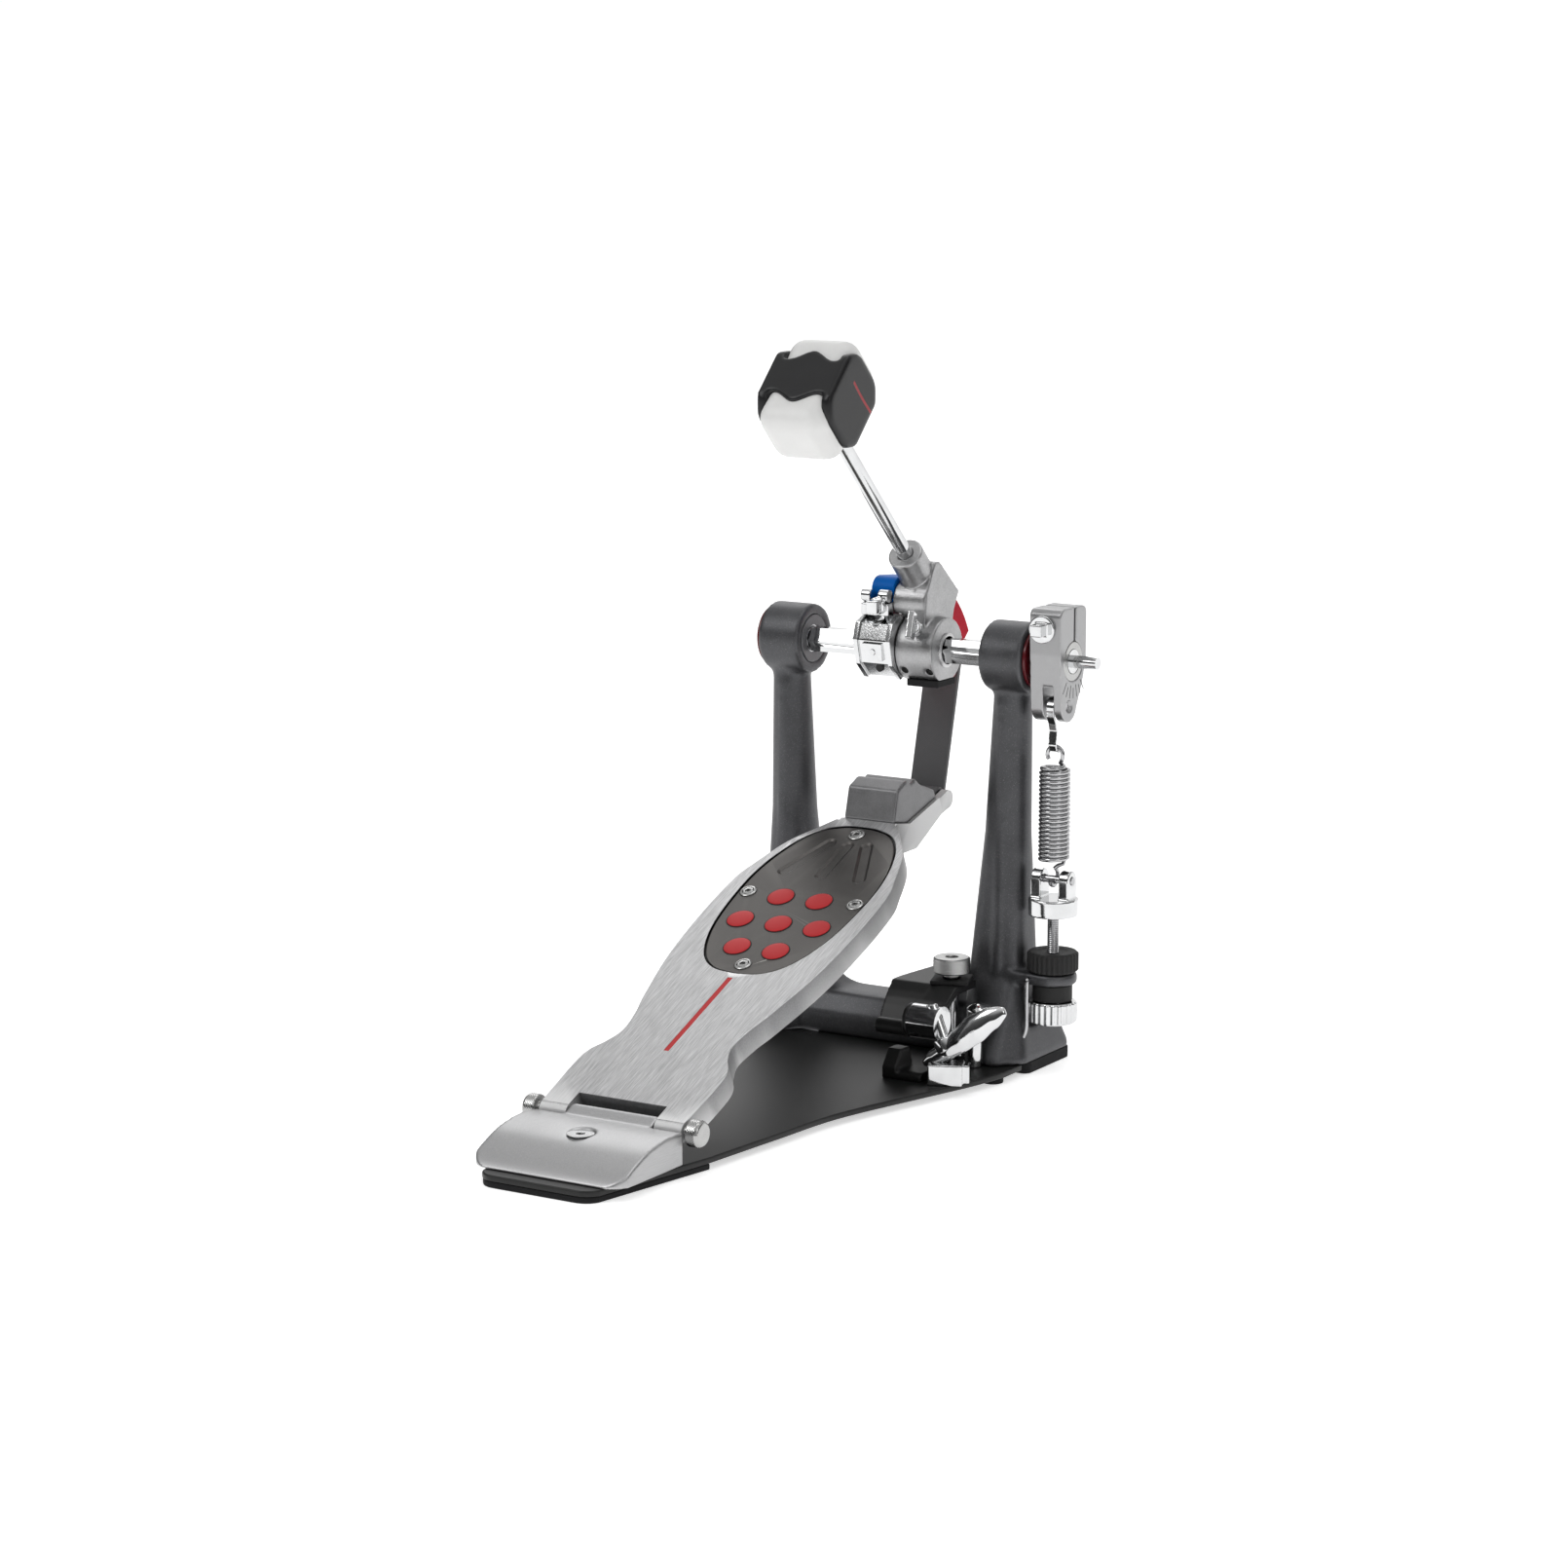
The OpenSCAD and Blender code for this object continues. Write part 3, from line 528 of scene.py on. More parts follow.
@dataclass(frozen=True)
class Finishes:
    """Every finish of the pedal."""

    plate: Finish = Moulded("plate_black", Slot.PLATE, (0.009, 0.009, 0.01), 0.45, 0.7, 0.05, shine=0.16)
    rubber: Finish = Moulded("rubber_pads", Slot.RUBBER, (0.008, 0.008, 0.009), 0.72, 0.5, 0.12, 0.7, 0.2)
    board: Finish = BoardMetal("footboard_metal", Slot.BRUSHED, (0.6, 0.6, 0.6), 0.36)
    brushed: Finish = BrushedMetal("brushed_heel", Slot.BRUSHED, (0.5, 0.5, 0.505), 0.4)
    dark: Finish = CastMetal("charcoal_casting", Slot.DARK, (0.105, 0.106, 0.112), 0.42, flecks=0.35,
                             fleck=(0.55, 0.55, 0.56), edge=(0.34, 0.34, 0.35), edge_highlight=0.3)
    chrome: Finish = PolishedMetal("bright_chrome", Slot.CHROME, (0.68, 0.685, 0.69), 0.07)
    nickel: Finish = PolishedMetal("satin_nickel", Slot.CHROME, (0.46, 0.46, 0.455), 0.24, 0.04, 0.12)
    steel: Finish = PolishedMetal("spring_steel", Slot.STEEL, (0.48, 0.48, 0.49), 0.2, 0.03, 0.12)
    seal: Finish = Moulded("seal_red", Slot.SEAL, (0.11, 0.006, 0.012), 0.38)
    black: Finish = Moulded("black_plastic", Slot.BLACK, (0.008, 0.008, 0.009), 0.4, 0.6, 0.04)
    light: Finish = CastMetal("satin_casting", Slot.CAST, (0.4, 0.4, 0.405), 0.34, 0.35, 0.035, 1.0,
                              (0.8, 0.8, 0.8), 0.2, (0.85, 0.85, 0.85), 0.4, 0.12)
    tumbled: Finish = CastMetal("tumbled_casting", Slot.CAST, (0.46, 0.46, 0.465), 0.36, 0.9, 0.12, 1.0,
                                (0.8, 0.8, 0.8), 0.3, (0.85, 0.85, 0.85), 0.5, 0.3)
    worked: Finish = CastMetal("worked_casting", Slot.CAST, (0.25, 0.25, 0.255), 0.44, 0.6, 0.06, 1.0,
                               (0.5, 0.5, 0.5), 0.25, (0.6, 0.6, 0.6), 0.4, 0.3)
    blue: Finish = Moulded("blue_cam", Slot.BLUE, (0.0, 0.13, 0.52), 0.36, shine=0.08, rim_highlight=0.0)
    red: Finish = Moulded("red_cam", Slot.RED, (0.55, 0.0, 0.022), 0.36, shine=0.06, rim_highlight=0.0)
    strap: Finish = Webbing("strap_weave", Slot.WEBBING, (0.13, 0.13, 0.135), 0.6)
    white: Finish = Moulded("white_face", Slot.WHITE, (0.8, 0.8, 0.79), 0.42, 0.6, 0.02, 0.96, 0.5)
    shell: Finish = HeadPlastic("beater_shell", Slot.BLACK, (0.011, 0.011, 0.012), 0.32)
    gunmetal: Finish = CastMetal("gunmetal_plate", Slot.GUNMETAL, (0.105, 0.1, 0.096), 0.36, 0.5, 0.02, 1.0,
                                 (0.3, 0.3, 0.3), 0.1, (0.6, 0.58, 0.55), 0.6, 0.15)
    enamel: Finish = Moulded("red_enamel", Slot.ENAMEL, (0.9, 0.0, 0.002), 0.34, 0.8, 0.03, 0.85, 0.02, 0.0)


FINISH = Finishes()


# ---------- mesh work ----------
def put(name: str, data: bpy.types.ID) -> bpy.types.Object:
    """A new object in the scene."""
    thing = bpy.data.objects.new(name, data)
    bpy.context.scene.collection.objects.link(thing)
    return thing


def corners(made: Iterable) -> list:
    """The vertices among what an operator made."""
    return [part for part in made if isinstance(part, bmesh.types.BMVert)]


def along_x(x: float) -> Matrix:
    """Stands an outline of (y, z) points at x, raised along X."""
    return Matrix(((0, 0, 1, x), (1, 0, 0, 0), (0, 1, 0, 0), (0, 0, 0, 1)))


def angles(first: int, last: int, step: int) -> list[float]:
    """Angles in radians, from whole degrees."""
    return [math.radians(t) for t in range(first, last, step)]


def smooth(points: Sequence[Sequence[float]], steps: int) -> list[Vector]:
    """A smooth path through some points.

    Args:
        points: the points.
        steps: steps between neighbours.

    Returns:
        The points of the path.
    """
    given = [Vector(p) for p in points]
    path = []
    for i, (here, after) in enumerate(pairwise(given)):
        before, later = given[max(i - 1, 0)], given[min(i + 2, len(given) - 1)]
        bend = 2 * before - 5 * here + 4 * after - later
        twist = 3 * here - before - 3 * after + later
        for t in (k / steps for k in range(steps)):
            path.append(0.5 * (2 * here + (after - before) * t + bend * t * t + twist * t ** 3))
    return path + [given[-1]]


class Shape:
    """A mesh being worked in millimetres."""

    def __init__(self) -> None:
        """Starts empty."""
        self.bm = bmesh.new()

    @classmethod
    def of_nodes(cls, frame: dict, *names: str, flat: float = 0.6) -> Shape:
        """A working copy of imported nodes.

        Args:
            names: the nodes to copy.
            flat: faces that turn by less than this many degrees are joined.

        Returns:
            The copy, with its doubles merged.
        """
        shape = cls()
        for name in names:
            shape.bm.from_mesh(frame["nodes"][name].data)
        bmesh.ops.scale(shape.bm, vec=Vector((1, 1, 1)) / MM, verts=shape.bm.verts)
        bmesh.ops.remove_doubles(shape.bm, verts=shape.bm.verts, dist=0.003)
        if flat:
            bmesh.ops.dissolve_limit(shape.bm, angle_limit=math.radians(flat), verts=shape.bm.verts,
                                     edges=shape.bm.edges)
        return shape

    def move(self, matrix: Matrix, verts: Iterable | None = None) -> Shape:
        """Applies a matrix to some or all vertices."""
        bmesh.ops.transform(self.bm, matrix=matrix, verts=list(self.bm.verts if verts is None else verts))
        return self

    def push(self, rule: Callable[[Vector], Vector], verts: Iterable | None = None) -> Shape:
        """Moves each vertex to where a rule puts it."""
        for vert in list(self.bm.verts if verts is None else verts):
            vert.co = rule(vert.co)
        return self

    def block(self, low: Point, high: Point) -> list:
        """A box between two corners; returns its vertices."""
        middle = (Vector(low) + Vector(high)) / 2
        size = Vector(high) - Vector(low)
        matrix = Matrix.Translation(middle) @ Matrix.Diagonal((*size, 1))
        return bmesh.ops.create_cube(self.bm, size=1, matrix=matrix)["verts"]

    def rod(self, radius: float, start: Point, end: Point, sides: int = 48) -> list:
        """A round bar between two points.

        Args:
            radius: its radius.
            start: centre of one end.
            end: centre of the other end.
            sides: number of sides.

        Returns:
            Its vertices.
        """
        line = Vector(end) - Vector(start)
        turn = line.to_track_quat("Z", "Y").to_matrix().to_4x4()
        matrix = Matrix.Translation((Vector(start) + Vector(end)) / 2) @ turn
        made = bmesh.ops.create_cone(self.bm, cap_ends=True, segments=sides, radius1=radius,
                                     radius2=radius, depth=line.length, matrix=matrix)
        return made["verts"]

    def lathe(self, profile: Sequence[Flat], foot: Point, way: Point = (0, 0, 1), steps: int = 64) -> list:
        """Turns a profile about an axis.

        Args:
            profile: (radius, height) pairs from one end to the other.
            foot: the point on the axis at height 0.
            way: the axis.
            steps: number of steps round.

        Returns:
            The new vertices.
        """
        verts = [self.bm.verts.new((radius, 0, height)) for radius, height in profile]
        edges = [self.bm.edges.new(pair) for pair in pairwise(verts)]
        bmesh.ops.spin(self.bm, geom=verts + edges, cent=(0, 0, 0), axis=(0, 0, 1), dvec=(0, 0, 0),
                       angle=2 * math.pi, steps=steps, use_merge=True, use_duplicate=False)
        bmesh.ops.remove_doubles(self.bm, verts=[v for v in self.bm.verts if not v.tag], dist=0.0005)
        ring = [v for v in self.bm.verts if not v.tag]
        turn = Vector(way).to_track_quat("Z", "Y").to_matrix().to_4x4()
        self.move(Matrix.Translation(foot) @ turn, ring)
        return self.keep(ring)

    def keep(self, verts: Iterable) -> list:
        """Tags vertices as finished and returns them."""
        verts = list(verts)
        for vert in verts:
            vert.tag = True
        return verts

    def slab(self, outline: Sequence[Flat], matrix: Matrix, depth: float) -> list:
        """Raises a flat outline into a plate.

        Args:
            outline: points in the plate's own X and Y.
            matrix: where the plate lies.
            depth: its thickness along its own Z.

        Returns:
            Its vertices.
        """
        verts = [self.bm.verts.new((x, y, 0)) for x, y in outline]
        face = self.bm.faces.new(verts)
        made = bmesh.ops.extrude_face_region(self.bm, geom=[face])["geom"]
        upper = corners(made)
        bmesh.ops.translate(self.bm, vec=(0, 0, depth), verts=upper)
        self.move(matrix, verts + upper)
        return self.keep(verts + upper)

    def tube(self, path: Sequence[Point], radius: float, sides: int = 12) -> list:
        """Draws a round wire along a path.

        Args:
            path: the points of its middle line.
            radius: its radius.
            sides: number of sides.

        Returns:
            Its vertices.
        """
        points = [Vector(p) for p in path]
        aims = [(points[min(i + 1, len(points) - 1)] - points[max(i - 1, 0)]).normalized()
                for i in range(len(points))]
        turn = aims[0].to_track_quat("Z", "Y")
        places = []
        for i, (point, aim) in enumerate(zip(points, aims)):
            if i:
                turn = aims[i - 1].rotation_difference(aim) @ turn
            places.append(Matrix.Translation(point) @ turn.to_matrix().to_4x4())
        ring = bmesh.ops.create_circle(self.bm, cap_ends=True, radius=radius, segments=sides,
                                       matrix=places[0])
        every = list(ring["verts"])
        edges = list({e for v in every for e in v.link_edges})
        for before, after in pairwise(places):
            made = bmesh.ops.extrude_edge_only(self.bm, edges=edges)["geom"]
            verts = corners(made)
            inside = set(verts)
            edges = [g for g in made if isinstance(g, bmesh.types.BMEdge) and set(g.verts) <= inside]
            self.move(after @ before.inverted(), verts)
            every += verts
        bmesh.ops.holes_fill(self.bm, edges=edges, sides=0)
        return self.keep(every)

    def bevel(self, width: float, steps: int = 2, angle: float = 30, where: Callable | None = None) -> Shape:
        """Rounds the sharp edges.

        Args:
            width: how far the rounding reaches from the edge.
            steps: number of steps across it.
            angle: only edges that turn by more than this many degrees.
            where: a test on an edge's middle point.

        Returns:
            The shape itself.
        """
        limit = math.radians(angle)
        edges = [e for e in self.bm.edges if len(e.link_faces) == 2 and e.calc_face_angle(0) > limit]
        if where is not None:
            edges = [e for e in edges if where((e.verts[0].co + e.verts[1].co) / 2)]
        bmesh.ops.bevel(self.bm, geom=edges, offset=width, offset_type="OFFSET", segments=steps, profile=0.5,
                        affect="EDGES", clamp_overlap=True, material=-1)
        bmesh.ops.remove_doubles(self.bm, verts=self.bm.verts, dist=0.001)
        return self

    def mesh(self, name: str) -> bpy.types.Mesh:
        """Turns the work into a mesh in metres."""
        bmesh.ops.recalc_face_normals(self.bm, faces=self.bm.faces)
        bmesh.ops.scale(self.bm, vec=Vector((MM, MM, MM)), verts=self.bm.verts)
        for face in self.bm.faces:
            face.smooth = True
        mesh = bpy.data.meshes.new(name)
        self.bm.to_mesh(mesh)
        self.bm.free()
        return mesh


def is_plain(face: bmesh.types.BMFace) -> bool:
    """Whether a face is broad and flat, with no curved neighbour."""
    area, rim = face.calc_area() / MM / MM, face.calc_perimeter() / MM
    if area < rim:
        return False
    if area > BROAD_AREA and area > BROAD_RATIO * rim:
        return True
    least, most = (math.radians(turn) for turn in CURVED_TURN)
    turns = [edge.calc_face_angle(0) for edge in face.edges if len(edge.link_faces) == 2]
    return not any(least < turn < most for turn in turns)


def even_normals(thing: bpy.types.Object) -> None:
    """Lets broad faces lead the shading of a piece."""
    thing.modifiers.new("even_normals", "WEIGHTED_NORMAL").keep_sharp = True


def shade(mesh: bpy.types.Mesh, sharp: float) -> None:
    """Sets which edges and faces of a mesh stay crisp.

    Args:
        mesh: a mesh in metres.
        sharp: edges that turn by more degrees than this stay sharp.
    """
    mesh.set_sharp_from_angle(angle=math.radians(sharp))
    bm = bmesh.new()
    bm.from_mesh(mesh)
    plain = [face.index for face in bm.faces if is_plain(face)]
    bm.free()
    for index in plain:
        mesh.polygons[index].use_smooth = False


class Bench:
    """Where shapes become pieces of the pedal."""

    def __init__(self, frame: dict) -> None:
        """Keeps the frame.
        """
        self.frame = frame
        bodies = frame["record"]["behaviour"]["bodies"]
        self.body_of = {node: body for body, nodes in bodies.items() for node in nodes}

    def piece(self, shape: Shape, name: str, finish: Finish, nodes: Sequence[str] = (), body: str = "",
              sharp: float = 38, ride: bool = True) -> bpy.types.Object:
        """Makes a piece and hangs it on its body.

        Args:
            shape: the finished shape.
            name: the piece's name.
            finish: its finish.
            nodes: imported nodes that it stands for.
            body: the body it rides on, or that of its first node.
            sharp: edges that turn by more degrees than this stay sharp.
            ride: whether it rides on one body.

        Returns:
            The piece.
        """
        mesh = shape.mesh(name)
        shade(mesh, sharp)
        mesh.materials.append(finish.material())
        thing = put(name, mesh)
        even_normals(thing)
        self._enlist(thing, finish, nodes, body, ride)
        return thing

    def _enlist(self, thing: bpy.types.Object, finish: Finish, nodes: Sequence[str],
                body: str = "", ride: bool = True) -> None:
        """Hangs the piece on its body and hides the nodes it stands for."""
        if ride:
            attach(thing, body or self.body_of[nodes[0]])
        if nodes:
            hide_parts(*nodes)
        LOG.info("%s: %d faces", thing.name, len(thing.data.polygons))

    def rounded(self, node: str, finish: Finish, width: float = 0.5) -> bpy.types.Object:
        """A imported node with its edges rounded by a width."""
        return self.piece(Shape.of_nodes(self.frame, node).bevel(width), node + "_round", finish, (node,))

    def cast(self, shape: Shape, name: str, finish: Finish, nodes: Sequence[str], voxel: float = 0.6,
             rounds: int = 6) -> bpy.types.Object:
        """A shape with the soft corners of a casting.

        Args:
            shape: the shape, which may be several overlapping solids.
            name: the piece's name.
            finish: its finish.
            nodes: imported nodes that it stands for.
            voxel: size of the new mesh's cells.
            rounds: how often it is smoothed.

        Returns:
            The piece.
        """
        rough = put(name + "_rough", shape.mesh(name + "_rough"))
        remesh = rough.modifiers.new("cells", "REMESH")
        remesh.mode = "VOXEL"
        remesh.voxel_size = voxel * MM
        soften = rough.modifiers.new("soften", "SMOOTH")
        soften.factor = 0.5
        soften.iterations = rounds
        graph = bpy.context.evaluated_depsgraph_get()
        mesh = bpy.data.meshes.new_from_object(rough.evaluated_get(graph))
        bpy.data.objects.remove(rough)
        mesh.name = name
        mesh.materials.clear()
        mesh.materials.append(finish.material())
        for face in mesh.polygons:
            face.use_smooth = True
        thing = put(name, mesh)
        self._enlist(thing, finish, nodes)
        return thing

    def carve(self, thing: bpy.types.Object, cutters: Shape, level: Point) -> None:
        """Cuts shapes out of a piece for good.

        Args:
            thing: the piece.
            cutters: closed shapes to cut away.
            level: faces across this direction stay flat.
        """
        tool = put("cutters", cutters.mesh("cutters"))
        thing.modifiers.clear()
        cut = thing.modifiers.new("cut", "BOOLEAN")
        cut.operation, cut.solver, cut.object = "DIFFERENCE", "EXACT", tool
        graph = bpy.context.evaluated_depsgraph_get()
        made = bpy.data.meshes.new_from_object(thing.evaluated_get(graph))
        thing.modifiers.remove(cut)
        shade(made, CUT_SHARP)
        for face in made.polygons:
            if abs(face.normal.dot(Vector(level))) > LEVEL:
                face.use_smooth = False
        thing.data = made
        even_normals(thing)
        bpy.data.objects.remove(tool)

    def cast_node(self, node: str, finish: Finish, voxel: float = 0.6, rounds: int = 6) -> bpy.types.Object:
        """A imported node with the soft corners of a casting."""
        shape = Shape.of_nodes(self.frame, node, flat=0)
        return self.cast(shape, node + "_cast", finish, (node,), voxel, rounds)


# ---------- sub-assemblies ----------
@dataclass
class Board:
    """Directions of the tilted footboard."""

    hinge: Point = (0.0, -262.0, 20.0)
    tilt: float = math.radians(23)

    def matrix(self, x: float = 0, u: float = 0, w: float = 0) -> Matrix:
        """Places a thing at x, u along the board and w over its hinge plane."""
        place = Matrix.Translation((x, u, w))
        return Matrix.Translation(self.hinge) @ Matrix.Rotation(self.tilt, 4, "X") @ place


@dataclass
class Base:
    """The floor plate and its rubber."""

    bench: Bench

    def build(self) -> None:
        """Makes the plate and the pads."""
        self.bench.rounded("base_plate", FINISH.plate, 0.7)
        for node, width in (("heel_pad", 0.6), ("front_pads", 0.5), ("lower_jaw_pad", 0.5)):
            self.bench.rounded(node, FINISH.rubber, width)


@dataclass
class Heel:
    """The heel plate, its bolt and the hinge."""

    bench: Bench
    screw_r: float = 6.5
    hinge: Flat = (-262.0, 20.0)

    def build(self) -> None:
        """Makes every piece."""
        self.bench.cast_node("heel_plate", FINISH.brushed, 0.8, 6)
        self.bench.rounded("heel_bolt", FINISH.chrome, 0.3)
        self.bench.rounded("hinge_pin", FINISH.steel, 0.4)
        self.thumb_screws()

    def thumb_screws(self) -> None:
        """The two knurled hinge screws."""
        shape = Shape()
        for side in (-1, 1):
            profile = [(0, 0), (4, 0), (4, 1), (5.6, 1.3)]
            profile += [(self.screw_r, 1.9 + i * 0.35) for i in range(15)]
            profile += [(5.6, 7.9), (4.9, 8.4), (0, 8.4)]
            ring = shape.lathe(profile, (side * 40.6, *self.hinge), (side, 0, 0), 120)
            knurl(shape, ring, (0, *self.hinge), (1, 0, 0), 6.0, 0.28, 30, 0.95)
        self.bench.piece(shape, "thumb_screws", FINISH.nickel, ("hinge_thumb_screws",), sharp=70)


def knurl(shape: Shape, verts: Iterable, foot: Point, way: Point, least: float, depth: float, teeth: int,
          slope: float) -> None:
    """Cuts a diamond knurl into the outer wall of a turned shape.

    Args:
        shape: the shape.
        verts: the turned vertices.
        foot: a point on the axis.
        way: the axis, one of the main ones.
        least: only vertices farther from the axis than this are moved.
        depth: depth of the cut.
        teeth: diamonds round the wall.
        slope: turn of the cut in radians for each radius of height, at one tooth.
    """
    axis = Vector(way)
    side = Vector((0, 0, 1)) if abs(axis.x) > 0.5 else Vector((1, 0, 0))
    other = axis.cross(side)

    def rule(place: Vector) -> Vector:
        """Moves one vertex towards the axis."""
        out = place - Vector(foot)
        height = out.dot(axis)
        out = out - axis * height
        if out.length < least:
            return place
        angle = math.atan2(out.dot(other), out.dot(side)) * teeth / 2
        rise = height * slope * teeth / least / 2
        cut = max(abs(math.sin(angle + rise)), abs(math.sin(angle - rise)))
        return place - out.normalized() * depth * (1 - min(1.0, 1.35 * (1 - cut)))

    shape.push(rule, verts)


@dataclass
class CastFrame:
    """The two columns, the cross beam and the bearings."""

    bench: Bench
    right_face: float = 53.4
    left_face: float = 51.5

    def build(self) -> None:
        """Makes every piece."""
        names = ("left_post", "right_post", "cross_beam")
        shape = Shape.of_nodes(self.bench.frame, *names, flat=0)
        self.ridge(shape)
        self.bench.cast(shape, "cast_frame", FINISH.dark, names, 1.2, 13)
        for node in ("left_bearing", "right_bearing"):
            self.bench.rounded(node, FINISH.steel, 0.4)
        self.bench.rounded("bearing_seals", FINISH.seal, 0.3)
        self.covers()
        self.bench.cast_node("frame_bolt", FINISH.chrome, 0.45, 5)

    def covers(self) -> None:
        """The dark rings that close the hubs round the shaft."""
        shape = Shape()
        profile = [(7.2, 0.1), (7.2, 0.7), (7.6, 1.0), (12.0, 1.0), (12.3, 0.7), (12.3, 0.1), (7.2, 0.1)]
        for side, face in ((1, self.right_face), (-1, self.left_face)):
            shape.lathe(profile, (side * (face + 1), 0, AXLE_Z), (-side, 0, 0))
        self.bench.piece(shape, "bearing_covers", FINISH.dark, body="frame")

    def ridge(self, shape: Shape) -> None:
        """Raises the narrow rib down the player's side of each column."""
        for side in (-1, 1):
            outline = [(-11.5, 60), (-14.6, 48), (-14.2, 62), (-12.2, 118), (-10.6, 186), (-8, 190)]
            shape.slab(outline, along_x(side * 64 - 2), 4)


@dataclass
class SpringSide:
    """The spring with its tension rod, nuts, lever and shackle."""

    bench: Bench
    x: float = 91.0
    y: float = -4.0
    wire: float = 1.1
    coil_r: float = 6.9
    coil_z: Flat = (107.4, 155.4)
    turns: int = 22

    def build(self) -> None:
        """Makes every piece."""
        self.threaded_rod()
        self.bench.cast_node("spring_clevis", FINISH.chrome, 0.45, 5)
        self.bench.rounded("clevis_pin", FINISH.steel, 0.3)
        self.bench.rounded("tension_sleeve", FINISH.black, 0.4)
        self.clip()
        self.nut("lock_nut", 13, 51.2, 61.3, 30, 0.55, FINISH.black)
        self.nut("tension_nut", 12.6, 25, 35.9, 24, 0.75, FINISH.chrome)
        self.spring()
        self.lever()
        self.shackle()

    def clip(self) -> None:
        """The bent wire under the bracket."""
        path = smooth([(84.5, -15.4, 48.2), (84.5, -18.0, 48.4), (84.5, -19, 46.8), (84.5, -19, 38),
                       (84.5, -19, 27), (83.9, -19.2, 21.5), (81.8, -19.6, 17), (78.8, -20, 12.6)], 5)
        shape = Shape()
        shape.tube(path, 1.05, 12)
        self.bench.piece(shape, "bent_wire", FINISH.steel, ("wire_clip",), sharp=70)

    def threaded_rod(self) -> None:
        """The long screw under the clevis."""
        shape = Shape()
        profile = [(0, 23), (2.4, 23)]
        for i in range(56):
            profile += [(2.62, 23.3 + i), (3.0, 23.7 + i), (3.0, 23.85 + i)]
        profile += [(2.6, 79.6), (0, 79.6)]
        shape.lathe(profile, (self.x, self.y, 0), steps=28)
        self.bench.piece(shape, "threaded_rod", FINISH.steel, ("tension_rod",), sharp=80)

    def nut(self, node: str, radius: float, low: float, high: float, ribs: int, depth: float,
            finish: Finish) -> None:
        """A fluted hand nut.

        Args:
            node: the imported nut.
            radius: its outer radius.
            low: height of its lower face.
            high: height of its upper face.
            ribs: number of ribs.
            depth: depth of the flutes.
            finish: its finish.
        """
        shape = Shape()
        edge = radius - 1.2
        profile = [(3.1, low), (edge, low), (edge + 0.25, low + 0.3), (radius, low + 1.0)]
        profile += [(radius, high - 1.0), (edge + 0.25, high - 0.3), (edge, high), (radius * 0.62, high)]
        profile += [(radius * 0.58, high - 0.5), (3.1, high - 0.5), (3.1, low)]
        ring = shape.lathe(profile, (self.x, self.y, 0), steps=ribs * 8)

        def flute(place: Vector) -> Vector:
            """Presses a vertex in between two ribs."""
            out = Vector((place.x - self.x, place.y - self.y, 0))
            if out.length < edge + 0.6:
                return place
            wave = math.cos(math.atan2(out.y, out.x) * ribs)
            return place - out.normalized() * depth * (1 - max(-0.6, min(0.6, wave)) / 0.6) / 2

        shape.push(flute, ring)
        self.bench.piece(shape, node + "_fluted", finish, (node,), sharp=50)

    def spring(self) -> None:
        """The spring with its two hooks, one wire from end to end."""
        x, y = self.x, self.y
        low, high = self.coil_z
        path = [(x, y + 4.3 * math.cos(a), 99.1 + 4.3 * math.sin(a)) for a in angles(200, 441, 15)]
        path += [(x + 1.2, y + 2.2, 104.6), (x + 3.6, y + 3.2, 105.6)]
        steps = self.turns * 20
        start = math.radians(48)
        for i in range(steps + 1):
            share = i / steps
            angle = start + 2 * math.pi * self.turns * share
            taper = min(1.0, share * 34 + 0.78, (1 - share) * 14 + 0.6)
            path.append((x + self.coil_r * taper * math.cos(angle), y + self.coil_r * taper * math.sin(angle),
                         low + (high - low) * share))
        path += [(x + 2.2, y + 1.4, 157.2), (x + 3.6, y + 0.4, 158.6)]
        path += [(x + 4.3 * math.cos(a), y, 161 + 4.3 * math.sin(a)) for a in angles(-25, 221, 15)]
        shape = Shape()
        shape.tube(path, self.wire, 10)
        spring = self.bench.piece(shape, "coil_spring", FINISH.steel, ("tension_spring",), sharp=80,
                                  ride=False)
        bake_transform(spring)

    def lever(self) -> None:
        """The lever with its insert, bolt and angle marks."""
        self.bench.cast_node("spring_lever", FINISH.light, 0.55, 5)
        self.bench.rounded("lever_insert", FINISH.nickel, 0.6)
        self.bench.cast_node("lever_bolt", FINISH.chrome, 0.35, 3)
        self.bench.rounded("lever_pin", FINISH.steel, 0.3)
        marks = Shape()
        for i in range(7):
            turn = Matrix.Rotation(math.radians(-36 + 12 * i), 4, "X")
            place = Matrix.Translation((98.42, 0, AXLE_Z)) @ turn
            marks.move(place, marks.block((0, -0.22, -18.5), (0.12, 0.22, -12 + (i % 2) * -1.2)))
        self.bench.piece(marks, "lever_marks", FINISH.black, body="drive")

    def shackle(self) -> None:
        """The bent link between the lever pin and the spring."""
        path = [(-4.9 + 5.6 * math.cos(a), 185.1 + 5.6 * math.sin(a)) for a in angles(20, 206, 12)]
        path += [(-9.6, 180.5), (-7.6, 177), (-6.6, 173.5), (-7.2, 169.5), (-7.6, 166), (-6.4, 163.2),
                 (-3.6, 162), (-1.6, 163.4)]
        shape = Shape()
        verts = [shape.bm.verts.new((self.x - 2.2, y, z)) for y, z in path]
        edges = [shape.bm.edges.new(pair) for pair in pairwise(verts)]
        made = bmesh.ops.extrude_edge_only(shape.bm, edges=edges)["geom"]
        bmesh.ops.translate(shape.bm, vec=(4.4, 0, 0), verts=corners(made))
        bmesh.ops.recalc_face_normals(shape.bm, faces=shape.bm.faces)
        bmesh.ops.solidify(shape.bm, geom=shape.bm.faces[:], thickness=1.1)
        self.bench.cast(shape, "bent_shackle", FINISH.chrome, ("shackle",), 0.3, 3)


